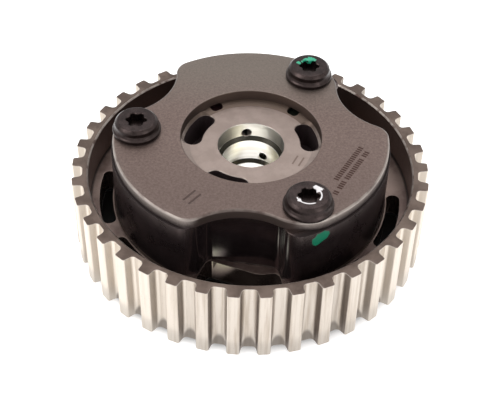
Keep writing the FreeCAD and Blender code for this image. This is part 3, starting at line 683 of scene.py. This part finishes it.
def make_dab():
    """Dab of paint round a point, its edge uneven."""
    group, given, result = new_group("paint_dab", {"X": 0.0, "Y": 0.0, "Z": 0.0, "Radius": 1.0}, ("Mask",))
    point = part_point(group)[0]
    spot = add_node(group, "CombineXYZ", {0: given["X"], 1: given["Y"], 2: given["Z"]}).outputs[0]
    ragged = (noise(group, point, 0.9, 2.0) - 0.5) * 1.6
    edge = ragged + distance(group, point, spot) - given["Radius"]
    feed(result, Mask=edge.step(0.12, -0.12))
    return group


paint_dab = make_dab()


def dabs(tree, spots):
    """Mask of several dabs (x, y, z, radius) in millimetres that run together."""
    return together([use_group(tree, paint_dab, X=x, Y=y, Z=z, Radius=radius)["Mask"]
                     for x, y, z, radius in spots])


def make_housing_metal():
    """Black oxide over a smooth pressed wall, with a painted sheen under the cover, a painted highlight at
    the foot of the lobes, painted shade in the seam, edges rubbed pale below the cover, and a dab of green
    paint.
    """
    material, tree, shader = new_metal("blackened_steel")
    z, radius = part_point(tree)[3:]
    cloud, pores, wear = surface(tree, 0.25, 6.0, 1.0, 3.0)
    paint = tint(cloud.step(0.35, 0.65), "463b3c", "544849")
    lobe = radius.step(34.5, 36.4)
    # Painted sheen: the lobes and the tops of the hollow walls are painted paler towards the cover
    upper_painted_light = z.step(24.0, 29.0) * lobe * (z.step(29.2, 29.0) * 0.12 + 0.05)
    paint = tint(upper_painted_light, paint, "b0a6a1")
    hollow_sheen = z.step(26.0, 29.4) * (1 - lobe)
    paint = tint(hollow_sheen * 0.45, paint, "7d6d66")
    # The flare at the foot of each lobe gets a painted highlight, and the edges below the cover are rubbed
    # pale
    foot = z.step(12.65, 12.5) * lobe
    wear *= z.step(29.0, 28.0)
    paint = tint(wear * 0.6 | foot * 0.9, paint, "a3978f")
    # Painted shade: the rounded top edge in the seam under the cover is painted dark and dull
    seam_shade = z.step(28.95, 29.1) * lobe
    paint = tint(seam_shade * 0.85, paint, "2c2423")
    green = dabs(tree, [(18.3, -31.7, 27.4, 1.55), (17.5, -32.2, 26.9, 1.6), (16.7, -32.7, 26.2, 1.35)])
    paint = tint(green, paint, "087a5a")
    rough = cloud * 0.08 + (lobe * 0.12 + 0.12) + seam_shade * 0.5 + green * 0.15
    feed(shader, Base_Color=paint, Roughness=rough, Metallic=green * -0.8 + 0.8,
         Normal=add_bump(green * 20.0 + pores, 0.000001))
    return material


housing = polish(make_piece("housing_wall", make_housing(), make_housing_metal()))
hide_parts("stator_housing")
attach(housing, "pulley_body")

# Rotor: sintered hub with three vanes, ground on its front face. The middle is bored in steps for the
# central bolt, and six radial oil holes, three kidney pockets and two vent notches open from it.
rotor_low, rotor_high = (corner.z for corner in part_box("rotor"))
rotor_floor = housing_low + 0.05 * mm
face_level = rotor_high - 0.6 * mm
rotor_hub = 21.5 * mm
face_radius = 16.1 * mm
cone_radius = 18.4 * mm
front_bore = 8.7 * mm
middle_bore = 7.7 * mm
rear_bore = 6.9 * mm
bore_step = 0.95 * mm
front_bore_end = face_level - 4.3 * mm
middle_bore_end = front_bore_end - bore_step - 6.4 * mm
seat_radius = 12 * mm
seat_top = rotor_low + 6 * mm
seat_chamfer = 0.35 * mm
journal_radius = 15 * mm
vane_turn = bush_turn
vane_tip = 32.34 * mm
vane_half = 11
vane_round = 1.2 * mm
vane_edge = 0.15 * mm
seal_depth = 3.4 * mm
pin_hole = 2.9 * mm
timing_hole = 2 * mm
timing_circle = 9.45 * mm
timing_depth = 4 * mm
oil_hole = 1.18 * mm
kidneys = ((158.0, 15.2), (13.5, 12.0), (247.5, 12.5))
kidney_inner = 13.2 * mm
kidney_outer = 17.9 * mm
kidney_floor = face_level - 7.5 * mm
kidney_flare = 1.2 * mm
notch_turns = (50.6, 123.0)
notch_floor = rotor_high - 1.3 * mm
notch_inner = face_radius + 0.4 * mm
notch_outer = 19.9 * mm
notch_half = 1.75 * mm
notch_round = 1.1 * mm
oil_rows = ((25.4 * mm, 98.4, front_bore, 22.6 * mm), (18.3 * mm, 185.0, middle_bore, 17.9 * mm))
mouth_edge = 0.18 * mm


def spun(profile, count=160):
    """Solid turned about the Z axis from a closed half section of (radius, height)."""
    mesh = bmesh.new()
    rings = []
    for radius, height in profile:
        if radius < 1e-9:
            rings.append([mesh.verts.new((0, 0, height))])
        else:
            rings.append([mesh.verts.new((*spot, height)) for spot in circle(radius, count=count)])
    for low, high in zip(rings, rings[1:] + rings[:1]):
        if len(low) == len(high) == 1:
            continue
        for i in range(count):
            j = (i + 1) % count
            face = (low[i % len(low)], low[j % len(low)], high[j % len(high)], high[i % len(high)])
            mesh.faces.new(list(dict.fromkeys(face)))
    bmesh.ops.recalc_face_normals(mesh, faces=mesh.faces)
    return mesh


def kidney(half_span):
    """Round-ended slot along a circle, about the X axis."""
    end = (kidney_outer - kidney_inner) / 2
    middle = (kidney_outer + kidney_inner) / 2
    points = arc(origin, kidney_outer, -half_span, half_span)
    points += arc(polar(middle, half_span), end, half_span, half_span + 180, 10)
    points += arc(origin, kidney_inner, half_span, -half_span)
    points += arc(polar(middle, -half_span), end, 180 - half_span, 360 - half_span, 10)
    return without_doubles(points)


def box_outline(inner, outer, half_width, corner):
    spots = ((inner, -half_width), (outer, -half_width), (outer, half_width), (inner, half_width))
    return without_doubles(rounded([(x, y, corner) for x, y in spots]))


def combine(piece, mesh, operation="DIFFERENCE"):
    """Boolean of a piece with a cutter that is then thrown away."""
    tool = make_piece("cutter", mesh, piece.data.materials[0])
    boolean = piece.modifiers.new("combine", "BOOLEAN")
    boolean.object = tool
    boolean.operation = operation
    boolean.solver = "EXACT"
    settle(piece)
    bpy.data.objects.remove(tool)


def merged(meshes):
    """Several closed meshes as one."""
    whole = bmesh.new()
    for mesh in meshes:
        data = bpy.data.meshes.new("part")
        mesh.to_mesh(data)
        whole.from_mesh(data)
        bpy.data.meshes.remove(data)
        mesh.free()
    return whole


def oil_drill(height, turn, wall, reach):
    """Radial drill whose mouth flares at the bore's wall."""
    start = wall - 0.7 * mm
    flare = wall + mouth_edge
    drill = spun([(0, start), (oil_hole + flare - start, start), (oil_hole, flare), (oil_hole, reach),
                  (0, reach)], 32)
    place = Matrix.Translation((0, 0, height)) @ Matrix.Rotation(math.radians(turn), 4, "Z")
    bmesh.ops.transform(drill, matrix=place @ Matrix.Rotation(math.pi / 2, 4, "Y"), verts=drill.verts)
    return drill


def make_rotor(material):
    edge = mouth_edge
    section = rounded([
        (rotor_hub, rotor_floor, 0.2 * mm), (rotor_hub, rotor_high, 0.2 * mm),
        (cone_radius, rotor_high, 0.1 * mm), (face_radius, face_level, 0.4 * mm),
        (front_bore + edge, face_level, 0.06 * mm), (front_bore, face_level - edge, 0.06 * mm),
        (front_bore, front_bore_end, 0.1 * mm), (middle_bore, front_bore_end - bore_step, 0.1 * mm),
        (middle_bore, middle_bore_end, 0.1 * mm), (rear_bore, middle_bore_end - bore_step, 0.1 * mm),
        (rear_bore, seat_top, 0.1 * mm), (seat_radius, seat_top, 0.2 * mm),
        (seat_radius, rotor_low + seat_chamfer, 0.1 * mm),
        (seat_radius + seat_chamfer, rotor_low, 0.1 * mm),
        (journal_radius, rotor_low, 0.3 * mm), (journal_radius, rotor_floor, 0.1 * mm)], 30)
    rotor = make_piece("vane_rotor", spun(section), material)
    vane_turns = [vane_turn + 120 * i for i in range(3)]
    vane = sector(rotor_hub - 2 * mm, vane_tip, vane_half, vane_round)
    flank = straight(rotor_floor, rotor_high, -vane_edge)
    combine(rotor, merged([plate(turned_by(vane, turn), flank) for turn in vane_turns]), "UNION")
    flare = [(0, kidney_floor), (0, face_level - edge), (edge + kidney_flare, face_level + kidney_flare)]
    cutters = [plate(turned_by(kidney(span), turn), flare) for turn, span in kidneys]
    notch = box_outline(notch_inner, notch_outer, notch_half, notch_round)
    upward = [(0, notch_floor), (0, rotor_high + mm)]
    cutters += [plate(turned_by(notch, turn), upward) for turn in notch_turns]
    slot = box_outline(vane_tip - seal_depth, vane_tip + mm, seal_half, 0.05 * mm)
    beyond = [(0, rotor_floor - mm), (0, rotor_high + mm)]
    cutters += [plate(turned_by(slot, turn), beyond) for turn in vane_turns]
    cutters.append(plate(circle(pin_hole, polar(bush_circle, vane_turn), 48), beyond))
    timing = [(0.5 * mm, seat_top - mm), (0, seat_top + edge), (0, seat_top + timing_depth)]
    cutters.append(plate(circle(timing_hole, polar(timing_circle, vane_turn), 40), timing))
    for height, turn, wall, reach in oil_rows:
        cutters += [oil_drill(height, turn + 120 * i, wall, reach) for i in range(3)]
    combine(rotor, merged(cutters))
    return polish(rotor)


def turned_place(tree, x, y, degrees):
    """Millimetres along and across a direction, from a point of the face."""
    turn = (0, 0, math.radians(degrees))
    feeds = {"Vector": part_point(tree)[0], "Location": (x, y, 0), "Rotation": turn}
    return split(tree, add_node(tree, "Mapping", feeds, vector_type="TEXTURE").outputs[0])[:2]


def marked(tree, spots, degrees, length, width):
    """Mask of straight strokes at the spots, in millimetres, all turned the same way."""
    strokes = []
    for x, y in spots:
        along, across = turned_place(tree, x, y, degrees)
        inside = abs(along).step(length / 2 + 0.1, length / 2 - 0.1)
        strokes.append(inside * abs(across).step(width / 2 + 0.08, width / 2 - 0.08))
    return together(strokes)


def make_rotor_metal():
    """Ground face, turned bright bore with painted reflection, dull pressed pockets; painted shade on the
    bore's steps, in the oil holes, on the rear of the cone and in its notches.
    """
    material, tree, shader = new_metal("machined_rotor_steel")
    x, y, z, radius = part_point(tree)[1:]
    cloud, pores, wear = surface(tree, 0.28, 4.0, 0.9, 1.5)
    face = tint(cloud.step(0.36, 0.64), "82746d", "8b7d76")
    # Turning marks run round the axis, so they follow radius and height only
    rings = noise(tree, add_node(tree, "CombineXYZ", {0: radius, 1: z}).outputs[0], 1.6, 4.0)
    bore = tint(rings.step(0.35, 0.65), "ebe8e1", "f8f6f1")
    in_bore = radius.step(8.8, 8.72)
    # Painted reflection: the bore is brightest below its first step, and the upper wall is painted darker
    # to both sides
    upper_painted_light = tint(abs(x).step(3.0, 8.4), "cbc8c1", "6d6962")
    bore = tint(z.step(24.3, 24.7) * 0.8, bore, upper_painted_light)
    paint = tint(in_bore, face, bore)
    # Its two sloping steps are painted dark as painted shade
    for high in (front_bore_end / mm, middle_bore_end / mm):
        low = high - bore_step / mm
        step_shade = z.step(low - 0.1, low + 0.05) * z.step(high + 0.1, high - 0.05)
        paint = tint(step_shade * in_bore, paint, "35322b")
    # Yellowish film of oil low on the right of the bore
    film = x.step(3.5, 7.0) * z.step(23.6, 22.5)
    paint = tint(film * in_bore, paint, "efe9cf")
    # Two index strokes on the face
    strokes = marked(tree, [(11.6, -5.6), (13.2, -6.3)], 66.0, 3.6, 0.45)
    paint = tint(strokes * 0.7, paint, "57463f")
    pocket = z.step(28.6, 28.3) * radius.step(10.5, 11.0)
    paint = tint(pocket, paint, "5e5152")
    # Insides of the oil holes, behind both walls of the bore, painted near black as painted shade
    drilled_shade = z.step(23.4, 23.2) * radius.step(7.95, 8.1) | radius.step(8.95, 9.1) * z.step(28.4, 28.2)
    drilled_shade *= radius.step(11.5, 11.0)
    paint = tint(drilled_shade, paint, "100d0c")
    paint = tint(wear * (1 - in_bore) * 0.5, paint, "b3a8a0")
    # Painted shade: the cone round the face is painted darker towards the rear, and the notches in it
    # darker still
    rear_cone_shade = radius.step(15.9, 16.15) * z.step(28.45, 28.52) * y.step(0.0, 9.0)
    paint = tint(rear_cone_shade, paint, "54473f")
    notch_shade = radius.step(16.4, 16.6) * z.step(28.6, 28.5) * y.step(12.2, 12.5)
    paint = tint(notch_shade, paint, tint(x.step(-2.0, 2.0), "3d2529", "262b22"))
    feed(shader, Base_Color=paint, Roughness=in_bore * -0.14 + 0.42, Metallic=drilled_shade * -0.8 + 0.8,
         Normal=add_bump(pores * 0.4 + rings, 0.00003))
    return material


vane_rotor = make_rotor(make_rotor_metal())
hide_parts("rotor")
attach(vane_rotor, "rotor_body")

# Front cover: a punched steel plate, ground flat, with its outer edge tumbled round.
# It follows the housing's lobes and leaves the rotor's face open through the wide centre hole.
cover_low, cover_high = (corner.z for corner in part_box("front_cover"))
cover_radius = 36.2 * mm
cover_hollow = 18 * mm
cover_reach = 46.4 * mm
cover_hollow_lead = 2.5
cover_corners = (5 * mm, 12 * mm)
cover_round = 0.7 * mm
cover_hole = 18.45 * mm
hole_edge = 0.25 * mm
tick_pitch = 0.82
tick_row_offset = 1.07
tick_rows_at = (25.3, -12.15)
tick_rows_turn = 61


def heading(start, end):
    return math.degrees(math.atan2(end.y - start.y, end.x - start.x))


def cover_layout(corner):
    """Distance and angle of the corner beside a hollow, and the heading from it to the hollow's centre."""
    inward = cover_radius - corner
    outward = cover_hollow + corner
    cosine = (inward ** 2 + cover_reach ** 2 - outward ** 2) / (2 * inward * cover_reach)
    spread = math.degrees(math.acos(cosine))
    return inward, spread, heading(polar(inward, spread), Vector((cover_reach, 0)))


def cover_outline():
    """Three lobes with a round hollow between each pair, one corner of a hollow wider than the other."""
    tight, wide = cover_corners
    reach_a, spread_a, aim_a = cover_layout(tight)
    reach_b, spread_b, aim_b = cover_layout(wide)
    points = []
    for turn in hollow_turns:
        here = turn + cover_hollow_lead
        centre = polar(cover_reach, here)
        points += arc(polar(reach_a, here - spread_a), tight, here - spread_a, here - aim_a, 4)
        points += arc(centre, cover_hollow, here + 180 - aim_a, here + 180 + aim_b, 2)
        points += arc(polar(reach_b, here + spread_b), wide, here + aim_b, here + spread_b, 4)
        points += arc(origin, cover_radius, here + spread_b, here + 120 - spread_a, 2)
    return without_doubles(points)


def make_cover():
    bends = [math.radians(90 * i / 6) for i in range(7)]
    outer = [(0, cover_low)]
    outer += [(cover_round * (math.cos(t) - 1), cover_high + cover_round * (math.sin(t) - 1))
              for t in bends]
    mouth = [(0, cover_low), (0, cover_high - hole_edge), (0.4 * hole_edge, cover_high - 0.35 * hole_edge),
             (hole_edge, cover_high)]
    holes = [(circle(cover_hole, count=160), mouth)]
    holes += screw_holes(clearance_radius, 32, cover_low, cover_high)
    return plate(cover_outline(), outer, holes)


def tick_rows(tree):
    """Mask of two rows of etched ticks of unequal length, a tick missing here and there."""
    along, across = turned_place(tree, *tick_rows_at, tick_rows_turn)
    row = calc(tree, "SIGN", across)
    count = calc(tree, "DIVIDE", along, tick_pitch)
    cell = add_node(tree, "CombineXYZ", {0: calc(tree, "FLOOR", count), 1: row}).outputs[0]
    chance = add_node(tree, "TexWhiteNoise", {"Vector": cell}, noise_dimensions="2D").outputs[0]
    ticks = calc(tree, "FRACT", count).step(0.74, 0.62) * calc(tree, "GREATER_THAN", chance, 0.14)
    ticks *= abs(abs(across) - tick_row_offset).step(0.76, 0.64)
    beyond = abs(along - (row * 1.3 + 0.3)) + row * 1.05
    return ticks * beyond.step(8.65, 8.45)


def make_cover_metal():
    """Ground plate under a grainy brown-grey film, with painted light: darker at the front, paler at the
    rear, and a painted highlight with wear along the tumbled edge.
    """
    material, tree, shader = new_metal("ground_cover_steel", Metallic=0.8)
    point, _, y, z, radius = part_point(tree)
    pores, wear = surface(tree, 0.35, 14.0, 1.0, 4.0)[1:]
    mottle = noise(tree, point, 1.5, 4.0, 0.75)
    paint = tint(mottle.step(0.3, 0.7), "5b4c47", "71615b")
    # Painted light: the plate is painted darker towards the front and paler towards the rear
    paint = tint(y.step(5.0, -32.0) * 0.4, paint, "463a36")
    paint = tint(y.step(5.0, 30.0) * 0.5, paint, "6f6b63")
    paint = tint(pores.step(0.5, 0.68) * 0.25, paint, "4c403b")
    # Painted highlight: the tumbled edge is painted grey on top and fades, grain by grain, into the dark of
    # the housing; in the hollows it is painted dark as painted shade
    lobe = radius.step(33.5, 35.6)
    side = z.step(32.15, 31.7) * radius.step(19.0, 20.0)
    sheen_fade = pores * 1.6 + (z - 0.8)
    lobe_side_sheen = tint(sheen_fade.step(29.3, 31.8), "453c3b", "938983")
    paint = tint(side, paint, tint(lobe, "4f433f", lobe_side_sheen))
    paint = tint(wear * (lobe * 0.3 + 0.15), paint, "b9b0a8")
    in_hole = radius.step(18.6, 18.5) * z.step(32.15, 32.0)
    paint = tint(in_hole, paint, "64564f")
    paint = tint(tick_rows(tree) * 0.9, paint, "2e1710")
    # Two plain index strokes
    strokes = marked(tree, [(-14.9, -23.6), (-13.5, -24.9)], 52.0, 4.6, 0.5)
    paint = tint(strokes * 0.75, paint, "3a2d29")
    height = mottle * 0.6 + pores + strokes * -4.0
    feed(shader, Base_Color=paint, Roughness=pores * 0.25 + 0.3, Normal=add_bump(height, 0.00002))
    return material


ground_cover = polish(make_piece("ground_cover", make_cover(), make_cover_metal()))
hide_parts("front_cover")
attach(ground_cover, "pulley_body")

# Three cover screws: cold-headed steel with a flange and a six-lobe recess, black phosphate finish.
# They pass through the cover and the housing and are screwed into the web.
screw_low, screw_high = (corner.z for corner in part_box("cover_screw_1"))
flange_radius = 6.35 * mm
head_radius = 5.65 * mm
shank_radius = 2.95 * mm
flange_top = cover_high + 1.3 * mm
tip_chamfer = 0.7 * mm
flange_edge = 0.35 * mm
head_edge = 0.75 * mm
recess_tip = 2.8 * mm
recess_lobe = 0.8 * mm
recess_floor = screw_high - 2.3 * mm


def six_lobes():
    """Six round lobes joined by six hollows of the same radius."""
    centre = recess_tip - recess_lobe
    reach = centre * math.cos(math.radians(30))
    reach += math.sqrt(4 * recess_lobe ** 2 - (centre / 2) ** 2)
    swing = heading(Vector((centre, 0)), polar(reach, 30))
    points = []
    for here in range(0, 360, 60):
        points += arc(polar(centre, here), recess_lobe, here - swing, here + swing, 12)
        points += arc(polar(reach, here + 30), recess_lobe, here + 180 + swing, here + 240 - swing, 12)
    return without_doubles(points)


def make_screws(material):
    section = rounded([
        (0, screw_low, 0), (shank_radius - tip_chamfer, screw_low, 0),
        (shank_radius, screw_low + tip_chamfer, 0), (shank_radius, cover_high, 0),
        (flange_radius - 0.1 * mm, cover_high, 0.1 * mm),
        (flange_radius, cover_high + flange_edge, 0.25 * mm),
        (flange_radius, flange_top - flange_edge, 0.3 * mm),
        (head_radius + 0.3 * mm, flange_top, 0.25 * mm),
        (head_radius, flange_top + 0.6 * mm, 0.3 * mm),
        (head_radius, screw_high - head_edge, 0.35 * mm),
        (head_radius - head_edge, screw_high, 0.4 * mm), (0, screw_high, 0)], 15)
    screw = make_piece("cover_screws", spun(section, 96), material)
    flare = [(0, recess_floor), (0, screw_high - 0.2 * mm), (0.7 * mm, screw_high + 0.5 * mm)]
    combine(screw, plate(six_lobes(), flare))
    screw.data.transform(Matrix.Translation((screw_circle, 0, 0)))
    return polish(repeat(screw, 3, screw_turns[0], material))


def make_screw_metal():
    """Black phosphate, rubbed grey where the wrench and the tray have touched it."""
    material, tree, shader = new_metal("black_phosphate")
    point, x, y, z = part_point(tree)[:4]
    cloud, pores, wear = surface(tree, 0.25, 2.0, 0.8, 1.2)
    paint = tint(cloud.step(0.35, 0.65), "28201f", "362c2b")
    paint = tint(wear * 0.2, paint, "5a4f4b")
    top = screw_high / mm
    green = dabs(tree, [(15.7, 28.4, top, 1.0), (14.6, 28.1, top, 0.9), (16.6, 28.4, top, 0.6),
                        (13.6, 27.4, top, 0.5), (12.7, 26.9, top, 0.55)])
    paint = tint(green, paint, "2aa882")
    white = dabs(tree, [(16.6, -24.1, top, 1.15), (12.1, -28.2, top, 0.5)])
    # Thin arc of white along the rim of the lower right recess, with a gap in it
    spot = polar(screw_circle / mm, screw_turns[2])
    ring = abs(distance(tree, point, (*spot, top)) - 3.1).step(0.24, 0.1)
    ring *= 1 - dabs(tree, [(spot.x + 2.1, spot.y - 2.3, top, 0.7)])
    low_side = (x - spot.x) * 0.5 + (y - spot.y) * -0.87
    white |= ring * low_side.step(-0.8, -0.4)
    # It keeps to the top of the head
    white *= z.step(top - 0.4, top - 0.2)
    paint = tint(white, paint, "e9e5e6")
    painted = green | white
    feed(shader, Base_Color=paint, Roughness=pores * 0.2 + 0.2, Metallic=painted * -0.85 + 0.85,
         Normal=add_bump(painted * 2.0 + pores, 0.00001))
    return material


cover_screws = make_screws(make_screw_metal())
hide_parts("cover_screw_1", "cover_screw_2", "cover_screw_3")
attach(cover_screws, "pulley_body")

# Inner pieces: sealing strips of filled plastic, leaf springs, the lock pin with its coil, cap and bush,
# and the dowels. Their shapes come with the frame; they get their own finishes.


def make_inner_metal(name, dark, light, metallic, roughness):
    material, tree, shader = new_metal(name, Metallic=metallic)
    cloud, pores, wear = surface(tree, 0.2, 1.5, 0.6, 0.8)
    paint = tint(wear * 0.3, tint(cloud.step(0.35, 0.65), dark, light), light)
    feed(shader, Base_Color=paint, Roughness=pores * 0.2 + roughness, Normal=add_bump(pores, 0.00001))
    return material


inner_finishes = {
    "stator_seal_spring": make_inner_metal("rolled_spring_strip", "8f8b84", "b5b1aa", 0.9, 0.2),
    "vane_seal_spring": make_inner_metal("rolled_leaf_strip", "8f8b84", "b5b1aa", 0.9, 0.2),
    "stator_seal": make_inner_metal("filled_plastic", "2c2622", "3d352f", 0.0, 0.45),
    "vane_seal": make_inner_metal("filled_plastic_vane", "2c2622", "3d352f", 0.0, 0.45),
    "lock_spring_cap": make_inner_metal("turned_cap_steel", "8d877f", "a8a29a", 0.9, 0.25),
    "lock_spring": make_inner_metal("drawn_wire", "7f7a73", "a39d95", 0.9, 0.2),
    "lock": make_inner_metal("hardened_steel", "77726c", "9a958e", 0.9, 0.18),
    "locating_dowel": make_inner_metal("dowel_steel", "8a857e", "aaa59d", 0.9, 0.2),
}
for name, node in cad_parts.items():
    for start, finish in inner_finishes.items():
        if name.startswith(start):
            node.data.materials.clear()
            node.data.materials.append(finish)
            break

# Studio. The part lies on a white table under soft daylight lamps, seen from the front and above.
# The lens and the camera's place follow the photograph.
scene = bpy.context.scene
scene.view_settings.view_transform = "Standard"

lift = 0.76294
tilt = 0.02604
side = Vector((math.cos(tilt), math.sin(tilt) * math.sin(lift), math.sin(tilt) * math.cos(lift)))
ahead = Vector((0, math.cos(lift), -math.sin(lift)))
camera_data = bpy.data.cameras.new("camera")
camera_data.lens = 82.17
camera_data.sensor_width = 36
camera_data.sensor_fit = "HORIZONTAL"
camera_data.clip_start = 0.01
camera = bpy.data.objects.new("camera", camera_data)
scene.collection.objects.link(camera)
turn = Matrix((side, side.cross(ahead), -ahead)).transposed()
camera.matrix_world = Matrix.Translation((0, -0.2274, 0.2258)) @ turn.to_4x4()
scene.camera = camera


def seen_rays(tree):
    """1 for rays from the camera and for mirror and glass rays."""
    path = add_node(tree, "LightPath", {}).outputs
    return calc(tree, "MAXIMUM", path["Is Camera Ray"], path["Is Glossy Ray"]) | path["Is Transmission Ray"]


room_light = 0.62
world = bpy.data.worlds.new("white_room")
world.use_nodes = True
scene.world = world
background = world.node_tree.nodes["Background"]
background.inputs["Color"].default_value = (1, 1, 1, 1)
feed(background, Strength=seen_rays(world.node_tree) | room_light)


def make_paper():
    """White paper; darker under the part, where little light gets in."""
    material = bpy.data.materials.new("white_table")
    material.use_nodes = True
    tree = material.node_tree
    tree.nodes.remove(tree.nodes["Principled BSDF"])
    x, y, _, radius = part_point(tree)[1:]
    beside = radius.step(42.5, 47.5)
    shaded = tint(beside, (0.03, 0.03, 0.03, 1), (0.85, 0.85, 0.85, 1))
    paper = add_node(tree, "BsdfDiffuse", {"Color": shaded}).outputs[0]
    # Glowing patches of the paper stand in for light that gets in under the part: mirrored in the front
    # window, and seen through the bore
    path = add_node(tree, "LightPath", {}).outputs
    glow_patch = abs(x + 14.4).step(4.5, 0.5) * y.step(-30.0, -37.5) * radius.step(44.0, 43.0)
    shine = seen_rays(tree) * room_light * beside
    shine += glow_patch * path["Is Glossy Ray"] * 4.2 + radius.step(9.0, 6.0) * 8.0
    hue = tint(glow_patch, "ffffff", "eaffe4")
    glow = add_node(tree, "Emission", {"Color": hue, "Strength": shine}).outputs[0]
    both = add_node(tree, "AddShader", {0: paper, 1: glow}).outputs[0]
    # The table isn't there for eyes below it, nor for the underside close above it
    clear = add_node(tree, "BsdfTransparent", {}).outputs[0]
    touching = calc(tree, "LESS_THAN", path["Ray Length"], 6.5 * mm)
    gone = touching | add_node(tree, "NewGeometry", {}).outputs["Backfacing"]
    sheet = add_node(tree, "MixShader", {0: gone, 1: both, 2: clear}).outputs[0]
    tree.links.new(sheet, tree.nodes["Material Output"].inputs["Surface"])
    return material


table_mesh = bmesh.new()
table_corners = ((-3, -3), (3, -3), (3, 3), (-3, 3))
table_mesh.faces.new([table_mesh.verts.new((x, y, -0.02 * mm)) for x, y in table_corners])
table = make_piece("table", table_mesh, make_paper())


def add_lamp(name, place, size, power):
    """Square soft lamp that faces the part."""
    light = bpy.data.lights.new(name, "AREA")
    light.shape = "RECTANGLE"
    light.size, light.size_y = size
    light.energy = power
    lamp = bpy.data.objects.new(name, light)
    scene.collection.objects.link(lamp)
    facing = Vector(place).to_track_quat("Z", "Y").to_matrix().to_4x4()
    lamp.matrix_world = Matrix.Translation(place) @ facing


add_lamp("window_left", (-0.5, -0.15, 0.6), (0.45, 0.45), 2.2)
add_lamp("window_right", (0.55, -0.45, 0.4), (0.3, 0.5), 1.0)
add_lamp("overhead", (0.05, 0.4, 0.75), (0.6, 0.4), 2.0)
